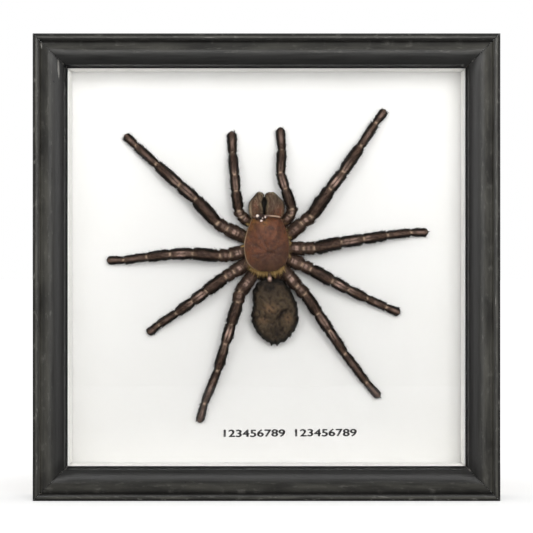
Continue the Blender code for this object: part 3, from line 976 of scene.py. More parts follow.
def grow_hair(
    name, piece, count, length, rise, flow, material, seed, width=None, bend=0.0, tint=(0.0, 1.0),
):
    """Hairs on a piece as one joined mesh of three-sided spikes.

    length is (shortest, longest) in mm; rise is how steeply a hair leaves the surface, from 0 to 1;
    flow gives the way hairs lie at each place; bend above 0 gives each hair a curved second joint.
    """
    rng = np.random.default_rng(seed)
    corners, shares, root, normal = hair_roots(piece, count, rng)
    lie = flow(root)
    lie = unit_rows(lie - normal * (lie * normal).sum(axis=1, keepdims=True))
    scatter = rng.normal(0.0, 1.0, (count, 3))
    away = unit_rows(normal * rise + lie * (1.0 - rise) + scatter * HAIR_SCATTER)
    reach = (length[0] + (length[1] - length[0]) * rng.random((count, 1)) ** 1.5) * MM
    usual = settings("spider").hair_width if width is None else width
    half = usual / 2 * (0.7 + 0.6 * rng.random((count, 1)))
    ring = spokes(away, scatter + 1e-3)
    base = root - normal * ROOT_DEPTH
    rows = [base + half * spoke for spoke in ring]
    if bend > 0.0:
        middle = base + away * reach * BEND_SHARE
        onward = unit_rows(away * (1.0 - bend) + lie * bend)
        rows += [middle + half * 0.75 * spoke for spoke in ring]
        rows.append(middle + onward * reach * (1.0 - BEND_SHARE))
    else:
        rows.append(base + away * reach)
    shade = blended(read_layer(piece.data, "shade", 0.5), corners, shares)
    # The flank layer darkens the hair there, as painted shade on limb and body sides.
    flank = blended(read_layer(piece.data, "flank", 0.0), corners, shares)
    share = tint[0] + (tint[1] - tint[0]) * (0.3 * rng.random(count) + 0.7 * shade)
    pattern = BENT_SPIKE_FACES if bend > 0.0 else SPIKE_FACES
    return join_spikes(name, rows, pattern, share * (1.0 - FLANK_PAINTED_SHADE * flank), material)


BRISTLES_IN_TUFT = 9
TUFT_DEPTH = 0.12 * MM


def grow_tufts(
    name, piece, count, length, rise, flow, material, seed, width, spread=0.16, tint=(0.0, 0.35),
):
    """Bunches of stiff bristles that meet at their tips, their roots spread over some mm."""
    rng = np.random.default_rng(seed)
    _, _, centre, normal = hair_roots(piece, count, rng)
    way = unit_rows(normal * rise + flow(centre) * (1.0 - rise))
    tip = centre + way * (rng.uniform(*length, (count, 1)) * MM)
    everywhere = (count * BRISTLES_IN_TUFT, 3)
    roots = np.repeat(centre, BRISTLES_IN_TUFT, axis=0) + rng.normal(0.0, spread * MM, everywhere)
    roots -= np.repeat(normal, BRISTLES_IN_TUFT, axis=0) * TUFT_DEPTH
    tips = np.repeat(tip, BRISTLES_IN_TUFT, axis=0) + rng.normal(0.0, 0.05 * MM, everywhere)
    ring = spokes(unit_rows(tips - roots), rng.normal(0.0, 1.0, everywhere))
    rows = [roots + width / 2 * spoke for spoke in ring] + [tips]
    tints = np.repeat(rng.uniform(*tint, count), BRISTLES_IN_TUFT)
    return join_spikes(name, rows, SPIKE_FACES, tints, material)


def join_spikes(name, rows, pattern, tint, material):
    """One piece of many small closed spikes: a row holds one corner of them all, pattern the faces of one."""
    count, size = len(tint), len(rows)
    verts = np.stack(rows, axis=1).reshape(-1, 3).astype(np.float32)
    offsets = np.arange(count)[:, None, None] * size
    faces = (np.array(pattern)[None] + offsets).reshape(-1, 3).astype(np.int32)
    mesh = bpy.data.meshes.new(name)
    mesh.vertices.add(len(verts))
    mesh.vertices.foreach_set("co", verts.ravel())
    mesh.loops.add(faces.size)
    mesh.loops.foreach_set("vertex_index", faces.ravel())
    mesh.polygons.add(len(faces))
    mesh.polygons.foreach_set("loop_start", np.arange(0, faces.size, 3, dtype=np.int32))
    mesh.update(calc_edges=True)
    layer = mesh.attributes.new("tint", "FLOAT", "POINT")
    layer.data.foreach_set("value", np.repeat(tint, size).astype(np.float32))
    return add_piece(name, mesh, material)


# ---------------------------------------------------------------- the rails
MITRE_GAP = 0.01 * MM
# The moulding's round parts, each by its centre across and behind the front, and its radius.
BEAD = ((1.6 * MM, 3.5 * MM), 1.45 * MM)
CREST = ((7.0 * MM, 4.4 * MM), 4.4 * MM)
SLOPE = ((7.0 * MM, 8.0 * MM), 8.0 * MM)
BEAD_FOOT = 3.9 * MM
LIP_BACK = 6.0 * MM
RAIL_CUTS = 24
# Vertex layers of the rails: wear, bare wood, painted highlight, and painted shade on the matte sight edge.
RAIL_LAYERS = ("wear", "bare", "painted_sheen_and_haze", "dull_painted_shade_edge")


def arc(centre, radius, start, end, steps):
    """Points on an arc in the (across, depth) plane; angles in degrees from +across towards the front."""
    points = []
    for step in range(steps + 1):
        angle = math.radians(start + (end - start) * step / steps)
        points.append((centre[0] + radius * math.cos(angle), centre[1] - radius * math.sin(angle)))
    return points


def rail_outline():
    """The moulding's outline in metres, with a wear number and a bare number at each point."""
    depth = RAIL_BACK_Y - FRONT_Y
    rows = [(0.0, depth, 0.3, 1.0), (0.0, depth - 0.4 * MM, 0.3, 0.0), (0.0, 12 * MM, 0.0, 0.0)]
    rows.append((0.0, BEAD_FOOT, 0.25, 0.0))
    for index, (across, back) in enumerate(arc(*BEAD, 180, 15, 14)):
        rows.append((across, back, 0.30 if 1 < index < 9 else 0.1, 0.0))
    rows.append((3.02 * MM, BEAD_FOOT, 0.0, 0.0))
    rows += [(across, back, 0.15, 0.0) for across, back in arc(*CREST, 160, 90, 14)]
    rows += [(across, back, 0.0, 0.0) for across, back in arc(*SLOPE, 86, 58, 10)]
    rows += [
        (RAIL_FACE - 0.25 * MM, 4.1 * MM, 0.1, 0.0),
        (RAIL_FACE - 0.08 * MM, 4.2 * MM, 0.2, 0.0),
        (RAIL_FACE, 4.4 * MM, 0.1, 0.0),
        (RAIL_FACE, LIP_BACK, 0.0, 0.0),
        (RAIL_FACE - 0.2 * MM, LIP_BACK, 0.0, 0.3),
        (REBATE_WALL, LIP_BACK, 0.0, 1.0),
        (REBATE_WALL, depth, 0.0, 1.0),
    ]
    return rows


def painted_rail_sheen(across, turn):
    """How much painted highlight the paint gets: most in the grooves of the upright rails and on the bead, a
    little on every broad curve.
    """
    upright = abs(math.sin(turn))
    groove = ridge(across, 3.1 * MM, 0.75 * MM) * upright
    bead = 0.8 * ridge(across, 1.35 * MM, 0.42 * MM)
    return max(groove, bead, ridge(across, 5.2 * MM, 1.9 * MM) * (0.45 + 0.10 * upright))


def make_rail(name, cad_name, turn):
    """One rail: its outline swept along the bottom, mitred, eased at the joints and turned into place."""
    mesh_data = bmesh.new()
    store = {name: mesh_data.verts.layers.float.new(name) for name in RAIL_LAYERS}
    rail_map = mesh_data.loops.layers.uv.new("rail")
    corners = []
    for across, depth, worn, raw in rail_outline():
        vertex = mesh_data.verts.new((across + MITRE_GAP - HALF_SIDE, FRONT_Y + depth, across - HALF_SIDE))
        vertex[store["wear"]] = worn
        vertex[store["bare"]] = raw
        # Painted highlight numbers, on the front faces only.
        vertex[store["painted_sheen_and_haze"]] = painted_rail_sheen(across, turn) if depth < LIP_BACK else 0.0
        # Painted shade: the last mm of the face by the opening is darkened, and also made rougher.
        vertex[store["dull_painted_shade_edge"]] = smooth_step(across, RAIL_FACE - 1.3 * MM, RAIL_FACE - 0.7 * MM)
        corners.append(vertex)
    cap = mesh_data.faces.new(corners)
    swept = bmesh.ops.extrude_face_region(mesh_data, geom=[cap])
    for element in swept["geom"]:
        if isinstance(element, bmesh.types.BMVert):
            element.co.x = -element.co.x
    long_edges = [edge for edge in mesh_data.edges if edge.calc_length() > HALF_SIDE]
    bmesh.ops.subdivide_edges(mesh_data, edges=long_edges, cuts=RAIL_CUTS, use_grid_fill=True)
    bmesh.ops.recalc_face_normals(mesh_data, faces=mesh_data.faces)
    # Only the two mitred ends have more than four corners.
    mitre = [edge for edge in mesh_data.edges if any(len(face.verts) > 4 for face in edge.link_faces)]
    bevel_edges(mesh_data, mitre, settings("frame").joint_bevel)
    # The turn gives each rail its own stretch of the grain.
    for face in mesh_data.faces:
        for loop in face.loops:
            point = loop.vert.co
            loop[rail_map].uv = (point.x + turn * 0.17, point.z * 0.8 + point.y * 0.6)
    placement = Matrix.Translation((0.0, 0.0, HALF_SIDE)) @ Matrix.Rotation(turn, 4, "Y")
    bmesh.ops.transform(mesh_data, matrix=placement, verts=mesh_data.verts)
    return finish_piece(name, mesh_data, "black_paint", (cad_name,), sharp=25)


class TARANTULA_OT_rails(bpy.types.Operator):
    """Build the four painted rails"""

    bl_idname = "tarantula.rails"
    bl_label = "Rails"

    def execute(self, context):
        for index, side in enumerate(("bottom", "left", "top", "right")):
            make_rail(f"{side}_rail", f"frame_rail_{side}", index * math.pi / 2)
        return {"FINISHED"}


class TARANTULA_OT_glazing(bpy.types.Operator):
    """Build the glass, the white spacers and the mounting card"""

    bl_idname = "tarantula.glazing"
    bl_label = "Glass, spacers and card"

    def execute(self, context):
        pane = refined_copy("picture_glass", "glass_pane", "glass", 0.2 * MM)
        pane.visible_shadow = False
        for side in ("bottom", "top", "left", "right"):
            refined_copy(f"{side}_spacer", f"spacer_{side}", "white_spacer", 0.15 * MM)
        refined_copy("white_mount", "mounting_card", "white_card", 0.2 * MM)
        return {"FINISHED"}


class TARANTULA_OT_back(bpy.types.Operator):
    """Build the back panel, the framer's points, the hanger and its nails"""

    bl_idname = "tarantula.back"
    bl_label = "Back and hardware"

    def execute(self, context):
        refined_copy("hardboard_panel", "back_panel", "hardboard", 0.3 * MM)
        for side in ("bottom", "left", "top", "right"):
            for number in (1, 2):
                refined_copy(f"point_{side}_{number}", f"framer_point_{side}_{number}", "steel", 0.1 * MM)
        refined_copy("toothed_hanger", "sawtooth_hanger", "steel", 0.1 * MM)
        for side in ("left", "right"):
            refined_copy(f"nail_{side}", f"hanger_nail_{side}", "steel", 0.08 * MM)
        return {"FINISHED"}


# ---------------------------------------------------------------- the caption
CAPTION_CENTRE = (8.1, 22.9)
CAPTION_LIFT = 0.03
CAPTION_TILT = 0.4
INK_THICKNESS = 0.02 * MM
FONT_SCALE = 1.37
DIGIT_STRETCH = 1.38
DIGIT_SLIP = 0.06 * MM
DIGIT_TURN = 1.2
# Where each digit is struck again, in mm across and up, so that its strokes come out thicker.
STRIKES = ((0.0, 0.0), (0.11, 0.0), (-0.11, 0.0), (0.0, 0.09), (0.0, -0.09), (0.17, 0.04), (-0.17, -0.04))


def digit_mesh(context, digit, height):
    """One digit as a mesh, lying flat with its foot at the origin."""
    curve = bpy.data.curves.new("digit", "FONT")
    curve.body = digit
    curve.size = height * FONT_SCALE
    curve.align_x = "CENTER"
    curve.extrude = INK_THICKNESS / 2
    text = bpy.data.objects.new("digit", curve)
    context.scene.collection.objects.link(text)
    context.view_layer.update()
    mesh = bpy.data.meshes.new_from_object(text.evaluated_get(context.evaluated_depsgraph_get()))
    bpy.data.objects.remove(text)
    return mesh


class TARANTULA_OT_caption(bpy.types.Operator):
    """Type the row of digits on the card"""

    bl_idname = "tarantula.caption"
    bl_label = "Typed digits"

    def execute(self, context):
        values = settings("caption")
        rng = np.random.default_rng(5)
        tilt = Matrix.Rotation(math.radians(-CAPTION_TILT), 4, "Y")
        centre = Matrix.Translation(on_card(*CAPTION_CENTRE, CAPTION_LIFT))
        upright = Matrix.Rotation(math.pi / 2, 4, "X")
        wide = Matrix.Diagonal((DIGIT_STRETCH, 1.0, 1.0, 1.0))
        mesh_data = bmesh.new()
        for index, digit in enumerate(values.digits):
            if digit == " ":
                continue
            mesh = digit_mesh(context, digit, values.height)
            across = (index - (len(values.digits) - 1) / 2) * values.pitch
            slip = rng.uniform(-DIGIT_SLIP, DIGIT_SLIP)
            turn = Matrix.Rotation(math.radians(rng.uniform(-DIGIT_TURN, DIGIT_TURN)), 4, "Y")
            place = Matrix.Translation((across, 0.0, slip - values.height / 2))
            mesh.transform(centre @ tilt @ place @ turn @ upright @ wide)
            last = Vector((0.0, 0.0, 0.0))
            for strike in STRIKES:
                shift = Vector((strike[0], 0.0, strike[1])) * MM
                mesh.transform(Matrix.Translation(shift - last))
                mesh_data.from_mesh(mesh)
                last = shift
            bpy.data.meshes.remove(mesh)
        finish_piece("typed_digits", mesh_data, "ink", sharp=30)
        return {"FINISHED"}


# ---------------------------------------------------------------- the limbs
RING_PLACES = (0.0, 0.03, 0.07, 0.12, 0.2, 0.3, 0.42, 0.54, 0.66, 0.77, 0.86, 0.92, 0.96)
LIMB_SIDES = 32
LEG_TUCK = 3.3
PALP_TUCK = 2.2
LONGEST_PALP = 40.0
LEG_LENGTH = 55.0
TOWARDS_GLASS = Vector((0.0, 0.0, 1.0))


def limb_line(pair, start, length, headings):
    """Rings down a limb: centre, radius, distance to the nearest joint, segment and share along it."""
    shares = LEG_SHARES.get(pair, PALP_SHARES)
    radii = SEGMENT_RADII[pair]
    used = [index for index, share in enumerate(shares) if share > 0.0]
    between = [(inner + outer) / 2 for inner, outer in zip(SEGMENT_LIFTS[:-1], SEGMENT_LIFTS[1:])]
    lifts = [HIP_LIFT, *between, TIP_LIFT]
    across, up = start
    rings = tucked_rings(across, up, HIP_LIFT, math.radians(headings[0]), radii[0], length)
    for index in used:
        reach = shares[index] * length
        heading = math.radians(headings[index])
        onward, upward = reach * math.cos(heading), reach * math.sin(heading)
        for along in RING_PLACES:
            lift = lifts[index] + (lifts[index + 1] - lifts[index]) * along
            lift += SEGMENT_ARCH[index] * math.sin(math.pi * along)
            centre = Vector((across + onward * along, up + upward * along, lift))
            to_joint = min(along, 1.0 - along) * reach
            if index == used[-1]:
                to_joint = along * reach
            if index == used[0]:
                to_joint = (1.0 - along) * reach
            rings.append([centre, radii[index], to_joint, index, along])
        across += onward
        up += upward
    rings.append([Vector((across, up, lifts[used[-1] + 1])), radii[used[-1]], reach, used[-1], 1.0])
    ease_line(rings)
    return rings


def tucked_rings(across, up, lift, heading, radius, length):
    """Rings that carry a limb's first segment inwards under the carapace, further for a leg than a palp."""
    inward = LEG_TUCK if length > LONGEST_PALP else PALP_TUCK
    rings = []
    for share in (1.0, 0.85, 0.7, 0.5, 0.3, 0.15):
        back = inward * share
        sunk = lift - 1.0 * share ** 1.5
        centre = Vector((across - back * math.cos(heading), up - back * math.sin(heading), sunk))
        rings.append([centre, radius * (1.0 - 0.22 * share ** 2), 5.0, 0, 0.0])
    return rings


def ease_line(rings):
    """Round the corners where segments meet and soften the steps between their radii."""
    for _ in range(3):
        centres = [ring[0].copy() for ring in rings]
        widths = [ring[1] for ring in rings]
        for index in range(1, len(rings) - 1):
            rings[index][0] = (centres[index - 1] + centres[index] * 2 + centres[index + 1]) / 4
            rings[index][1] = (widths[index - 1] + widths[index] * 2 + widths[index + 1]) / 4


def ring_girth(ring):
    """The radius of a ring in mm: full in mid segment, drawn in at each joint and closed at the tip."""
    _, radius, to_joint, index, along = ring
    girth = 1.0 + 0.05 * math.sin(math.pi * along) - 0.15 * ridge(to_joint, 0.0, 0.36)
    girth -= 0.04 * ridge(to_joint, 0.0, 1.0)
    if LIMB_SEGMENTS[index] == "tarsus":
        girth *= 0.94 + 0.14 * smooth_step(along, 0.3, 0.8)
        girth *= math.sqrt(max(0.0, 1.0 - smooth_step(along, 0.80, 1.0) ** 2 * 0.999))
    return radius * girth


def make_limb(name):
    """One limb's shell, with layers that say where it is bald, pale or hairy."""
    pair, start, length, headings = LIMBS[name]
    rings = limb_line(pair, start, length, headings)
    last = len(rings) - 1
    seed = sum(ord(letter) for letter in name)

    def place(along, angle):
        index = min(last, round(along * last))
        ring = rings[index]
        centre = ring[0]
        tangent = (rings[min(last, index + 1)][0] - rings[max(0, index - 1)][0]).normalized()
        side = tangent.cross(TOWARDS_GLASS).normalized()
        top = side.cross(tangent).normalized()
        spot = Vector((seed, 1.3 * math.cos(angle), 1.3 * math.sin(angle)))
        lump = 1.0 + 0.10 * noise.noise(centre * 0.75 + spot) + 0.15 * noise.noise(centre * 1.7 + spot)
        girth = ring_girth(ring) * lump
        point = centre + side * math.sin(angle) * girth + top * math.cos(angle) * girth * 0.92
        layers = limb_layers(ring, degrees_off(angle))
        layers["pale_and_painted_glint"] *= min(1.0, max(0.35, 0.6 + 2.4 * noise.noise(centre * 0.55 + spot * 0.2)))
        streak = lumpiness(math.sin(angle) * 3.4, index * 0.11, seed)
        blotch = noise.noise(centre * 1.35 + spot * 2.0) + 0.9 * noise.noise(centre * 2.6 + spot * 3.0)
        base = 0.52 if LIMB_SEGMENTS[ring[3]] in HIP_SEGMENTS else 0.30
        layers["shade"] = clamped(base + 2.0 * streak + 2.3 * blotch)
        return on_card(*point), layers

    mesh_data = rolled_surface(last, LIMB_SIDES, place, LIMB_LAYERS)
    return finish_piece(f"{name}_shell", mesh_data, "limb", (name,)), rings


def limb_layers(ring, turn):
    """Numbers at a place on a limb; turn is degrees round from the side that faces the glass."""
    _, _, to_joint, index, along = ring
    segment = LIMB_SEGMENTS[index]
    joint = ridge(to_joint, 0.0, 0.42)
    pale = 0.9 * joint * ridge(turn, 8.0, 17.0)
    # Painted shade: the flanks, turned away from the glass, go near black; dark joints are added below.
    flank = smooth_step(turn, 15.0, 42.0)
    # Painted highlights: glints on the patella, tibia, metatarsus, tarsus and hips, on the side towards the
    # glass.
    pale_and_painted_glint = 0.0
    if segment == "patella":
        pale_and_painted_glint = ridge(turn, 17.0, 9.0) * ridge(along, 0.45, 0.26)
    if segment == "tibia":
        pale_and_painted_glint = 0.45 * ridge(turn, 17.0, 9.0) * ridge(along, 0.16, 0.16)
    if segment in ("metatarsus", "tarsus"):
        pale_and_painted_glint = 0.35 * ridge(turn, 6.0, 12.0) * ridge(along, 0.5, 0.25)
    if segment in HIP_SEGMENTS:
        flank *= 0.6
        pale_and_painted_glint = ridge(turn, 7.0, 9.0) * (ridge(along, 0.48, 0.10) + 0.6 * ridge(along, 0.2, 0.05))
    near_joint = ridge(to_joint, 0.0, 0.75) * ridge(turn, 8.0, 22.0)
    hair = (1.0 - 0.8 * near_joint) * (1.0 - 0.9 * pale_and_painted_glint)
    if segment in HIP_SEGMENTS:
        hair *= 0.6
    if segment == "tarsus":
        hair *= 1.0 - 0.75 * smooth_step(along, 0.55, 0.9)
    return {"flank": max(flank, 0.8 * joint * (1.0 - pale)), "joint": pale, "pale_and_painted_glint": pale_and_painted_glint, "hair": hair}


def limb_flow(rings):
    """A function that gives the way out along a limb at each place."""
    centres = np.array([on_card(*ring[0]) for ring in rings])
    onward = unit_rows(np.gradient(centres, axis=0))

    def flow(points):
        apart = ((points[:, None, :] - centres[None]) ** 2).sum(axis=2)
        return onward[apart.argmin(axis=1)]

    return flow


def dress_limb(name, shell, rings, seed):
    """Short lying hairs, tufts and a few long bristles on one limb."""
    values = settings("spider")
    share = LIMBS[name][2] / LEG_LENGTH
    flow = limb_flow(rings)
    grow_hair(
        f"{name}_hair", shell, int(values.limb_hairs * share), (0.35, 0.8), 0.26, flow, "dark_hair",
        seed, tint=(0.1, 1.0),
    )
    grow_tufts(
        f"{name}_tufts", shell, int(380 * share), (0.45, 1.1), 0.34, flow, "dark_hair", seed + 80,
        0.09 * MM,
    )
    grow_hair(
        f"{name}_bristles", shell, int(900 * share), (0.9, 1.9), 0.55, flow, "dark_hair", seed + 50,
        width=values.hair_width * 0.9, bend=0.35, tint=(0.0, 0.7),
    )


class TARANTULA_OT_limbs(bpy.types.Operator):
    """Build the eight legs and the two palps with their hair"""

    bl_idname = "tarantula.limbs"
    bl_label = "Legs and palps"

    def execute(self, context):
        for seed, name in enumerate(LIMBS, start=100):
            shell, rings = make_limb(name)
            dress_limb(name, shell, rings, seed)
        return {"FINISHED"}


# ---------------------------------------------------------------- the front body
CARAPACE_CENTRE = (0.1, 91.0)
# How far its edge is from that centre in mm, at degrees from straight ahead.
CARAPACE_REACH = (
    (0, 9.7), (14, 9.9), (26, 10.35), (33, 10.1), (42, 9.15), (65, 8.1), (91, 8.05), (115, 8.75), (137, 9.9),
    (155, 10.35), (180, 10.2),
)
FOVEA = (1.0, -3.4)
RIM_LIFT = 6.3
DOME_RISE = 3.7
GROOVE_ANGLES = (28.0, 62.0, 98.0, 128.0, 154.0)
TOP_SHARE = 0.72


def outline_reach(angle):
    """How far the carapace's edge is from its centre, in mm, at an angle from straight ahead."""
    return smooth_table(CARAPACE_REACH, degrees_off(angle))


def carapace_grooves(x, z):
    """How deep the grooves that run out from the pit are at a place, and the pit itself."""
    away_x, away_z = x - FOVEA[0], z - FOVEA[1]
    distance = math.hypot(away_x, away_z)
    bearing = abs(math.degrees(math.atan2(away_x, away_z)))
    width = 5.0 + 9.0 / (distance + 0.8)
    groove = max(ridge(bearing, place, width) for place in GROOVE_ANGLES) * smooth_step(distance, 0.6, 2.2)
    return groove, ridge(away_x, 0.0, 1.5) * ridge(away_z, 0.0, 0.5)


def carapace_place(share, angle):
    """A point on the carapace: share runs from the top's middle over the rim to the middle below."""
    over = min(1.0, share / TOP_SHARE)
    reach = outline_reach(angle) * over
    x, z = math.sin(angle) * reach, math.cos(angle) * reach
    groove, pit = carapace_grooves(x, z)
    groove *= 1.0 - smooth_step(over, 0.70, 0.93)
    dome = max(0.0, 1.0 - over ** 2.6) ** 0.62
    head = smooth_step(z, -2.5, 3.0) * (1.0 - smooth_step(abs(x), 3.2, 5.2))
    head *= 1.0 - smooth_step(over, 0.80, 1.0)
    lift = RIM_LIFT + DOME_RISE * dome + 0.55 * head - 0.16 * groove - 0.7 * pit
    lift += 0.16 * lumpiness(x * 0.7, z * 0.7, 3.0) + 0.08 * lumpiness(x * 2.2, z * 2.2, 9.0)
    lift += 0.16 * ridge(over, 0.985, 0.02)
    rim = smooth_step(over, 0.955, 0.985)
    if share > TOP_SHARE:
        under = (share - TOP_SHARE) / (1.0 - TOP_SHARE)
        x *= 1.0 - under
        z *= 1.0 - under
        lift = RIM_LIFT - 0.35 - 0.3 * under
        rim = 1.0 - under
    # Painted shade: groove darkens the furrows and the pit.
    numbers = {
        "rim": rim * (0.15 + 0.75 * smooth_step(-x, 2.0, 6.0) * smooth_step(6.0 - z, 0.0, 3.0)),
        "groove": min(1.0, groove * 0.42 + 0.8 * pit),
        "rear": 0.75 * smooth_step(0.5 * x - z, 0.0, 8.0),
        "flank": smooth_step(over, 0.25, 0.75) * (1.0 if x < 0.0 else 0.35),
        "hair": 0.02 if share > 0.70 else 1.0 - 0.8 * pit,
    }
    return beside(CARAPACE_CENTRE, x, z, lift), numbers


def outward_flow(centre, backwards=0.0):
    """Hair lying away from a point of the card, and backwards by some share."""
    middle = np.array(on_card(*centre, 8.0))

    def flow(points):
        away = points - middle
        away[:, 1] = 0.0
        away = unit_rows(away)
        away[:, 2] -= backwards
        return away

    return flow


def make_pleura():
    """The soft dark sides and the sternum, which the coxae leave."""

    def place(share, angle):
        polar = math.pi * share
        reach = outline_reach(angle) * 1.02 * math.sin(polar) ** 0.8
        x, z = math.sin(angle) * reach, math.cos(angle) * reach
        lift = 3.4 + 3.0 * math.cos(polar)
        lift += 0.2 * lumpiness(x * 0.8, z * 0.8, lift * 0.8)
        return beside(CARAPACE_CENTRE, x, z, lift), {"flank": 0.6, "hair": 1.0}

    mesh_data = rolled_surface(24, 64, place, LIMB_LAYERS)
    return finish_piece("sternum", mesh_data, "limb")


MOUND_CENTRE = (-1.9, 100.0)
MOUND_HALF = (2.3, 1.5)
MOUND_BASE = 7.6
MOUND_RISE = 1.7
# Each eye's place from the mound's centre, and its radius, in mm.
EYES = {
    "dark_eye": (((-0.35, 0.1), 0.52), ((1.25, -0.6), 0.32), ((-1.5, -0.45), 0.30), ((0.55, 0.85), 0.34)),
    # The pale eyes are partly the eyes' own pale colour and partly painted highlight for their glints.
    "pale_painted_glint_eye": (((-1.35, 0.75), 0.58), ((0.05, -0.95), 0.48), ((1.45, 0.35), 0.32), ((0.45, 0.0), 0.18)),
}


def mound_place(x, z):
    """A point on the mound's top, given in mm from its centre."""
    share = (x / MOUND_HALF[0]) ** 2 + (z / MOUND_HALF[1]) ** 2
    return beside(MOUND_CENTRE, x, z, MOUND_BASE + MOUND_RISE * max(0.0, 1.0 - share) ** 0.6)


def make_eyes():
    """The low mound in front with its eight eyes in two rows."""

    def place(share, angle):
        x, z = MOUND_HALF[0] * math.sin(angle) * share, MOUND_HALF[1] * math.cos(angle) * share
        return mound_place(x, z), {"groove": 0.95, "rear": 0.3}

    mesh_data = rolled_surface(12, 28, place, CARAPACE_LAYERS)
    finish_piece("eye_mound", mesh_data, "carapace")
    for material, eyes in EYES.items():
        mesh_data = bmesh.new()
        for centre, radius in eyes:
            bmesh.ops.create_uvsphere(
                mesh_data, u_segments=14, v_segments=10, radius=radius * MM,
                matrix=Matrix.Translation(mound_place(*centre)),
            )
        finish_piece(f"{material}s", mesh_data, material)


def make_face():
    """The pale bar between the carapace's front edge and the jaws."""

    def place(share, angle):
        x = -5.0 + 10.0 * share
        girth = 0.40 * max(0.0, 1.0 - (2.0 * share - 1.0) ** 8) ** 0.5 + 0.001
        z = 9.85 - 0.02 * x * x + girth * math.cos(angle)
        layers = {"pale_and_painted_glint": 0.3, "joint": 0.6 * smooth_step(x, 0.5, 1.6)}
        layers["flank"] = 0.95 * smooth_step(-x, -1.2, 0.4)
        return beside(CARAPACE_CENTRE, x, z, 7.4 + 3.0 * girth * math.sin(angle)), layers

    mesh_data = rolled_surface(40, 14, place, LIMB_LAYERS)
    return finish_piece("face_bar", mesh_data, "limb")


class TARANTULA_OT_front_body(bpy.types.Operator):
    """Build the carapace, the sternum and the eyes with their hair"""

    bl_idname = "tarantula.front_body"
    bl_label = "Carapace and eyes"

    def execute(self, context):
        mesh_data = rolled_surface(72, 144, carapace_place, CARAPACE_LAYERS)
        shell = finish_piece("carapace_shell", mesh_data, "carapace", ("prosoma",))
        flow = outward_flow((CARAPACE_CENTRE[0], CARAPACE_CENTRE[1] + 3.0))
        grow_hair(
            "carapace_down", shell, 2600, (0.2, 0.5), 0.22, flow, "gold_hair", 11,
            width=0.03 * MM, tint=(0.0, 0.4),
        )
        grow_hair("sternum_hair", make_pleura(), 9000, (0.4, 1.1), 0.35, flow, "dark_hair", 12)
        make_eyes()
        make_face()
        make_fringe()
        return {"FINISHED"}


def make_fringe():
    """Golden hairs along the carapace's edge, most and longest behind."""

    def place(share, turn):
        angle = 2.0 * math.pi * share
        reach = outline_reach(angle) - 0.12 + 0.14 * math.cos(turn)
        rear = smooth_step(-math.cos(angle), 0.72, 0.93)
        left = smooth_step(-math.sin(angle), 0.35, 0.8) * (1.0 - rear)
        right = smooth_step(math.sin(angle), 0.75, 0.97)
        numbers = {"rim": 0.9 * left, "groove": 0.8 - 0.8 * left, "hair": 0.03 + 0.97 * rear + 0.10 * right}
        lift = RIM_LIFT - 0.1 + 0.14 * math.sin(turn)
        return beside(CARAPACE_CENTRE, math.sin(angle) * reach, math.cos(angle) * reach, lift), numbers

    mesh_data = rolled_surface(144, 8, place, CARAPACE_LAYERS)
    carrier = finish_piece("carapace_edge", mesh_data, "carapace")
    flow = outward_flow(CARAPACE_CENTRE, 0.5)
    grow_hair(
        "edge_fringe", carrier, 1500, (0.8, 2.6), 0.40, flow, "gold_hair", 13, width=0.06 * MM,
        bend=0.3,
    )
    grow_tufts(
        "rear_tufts", carrier, 70, (1.6, 3.1), 0.36, flow, "gold_hair", 14, 0.11 * MM,
        spread=0.22, tint=(0.2, 1.0),
    )
    return carrier


# ---------------------------------------------------------------- the jaws
JAWS = {"left": (-3.72, 104.3), "right": (2.85, 104.3)}
JAW_WIDTHS = {"left": 2.5, "right": 3.45}
JAW_LENGTH = 4.95
JAW_HEIGHT = 3.3
JAW_LIFT = 5.4
MOUTH_CENTRE = (-0.2, 103.2)


def make_jaw(side):
    """One chelicera: a blunt square-shouldered lobe."""
    sign = -1.0 if side == "left" else 1.0

    def place(share, angle):
        polar = math.pi * share
        forward = rounded(math.cos(polar), 0.72)
        girth = math.sin(polar) ** 0.72
        aside = rounded(math.sin(angle), 0.85) * girth
        x = aside * JAW_WIDTHS[side]
        if math.sin(angle) * sign > 0.0:
            x *= 1.06 - 0.40 * smooth_step(forward, 0.0, 1.0)
        else:
            x *= 1.0 - 0.25 * ridge(forward, 0.4, 0.42)
        x -= sign * 1.1 * smooth_step(forward, 0.1, 1.0)
        z = forward * JAW_LENGTH
        streak = lumpiness(x * 1.1, z * 0.28, sign * 5.0)
        spots = lumpiness(x * 1.4, z * 1.1, sign * 9.0)
        lift = JAW_LIFT + rounded(math.cos(angle), 0.9) * JAW_HEIGHT * girth
        lift += 0.35 * lumpiness(x * 0.7, z * 0.7, sign * 3.5) + 0.25 * streak
        lift -= 0.8 * smooth_step(forward, 0.3, 1.0)
        tone = 0.36 + 2.6 * streak + 1.4 * spots
        return beside(JAWS[side], x, z, lift), jaw_layers(sign, aside * sign, forward, angle, tone)

    mesh_data = rolled_surface(36, 56, place, CARAPACE_LAYERS)
    lobe = finish_piece(f"jaw_{side}", mesh_data, "carapace", (f"chelicera_{side}",))

    def forward_flow(points):
        return np.tile(np.array([sign * 0.15, 0.1, 1.0]), (len(points), 1))

    seed = 21 if side == "left" else 22
    grow_hair(
        f"jaw_{side}_hair", lobe, 8000, (0.35, 0.8), 0.26, forward_flow, "jaw_hair", seed,
        tint=(0.1, 1.0),
    )
    make_fang(side, sign)
    return lobe


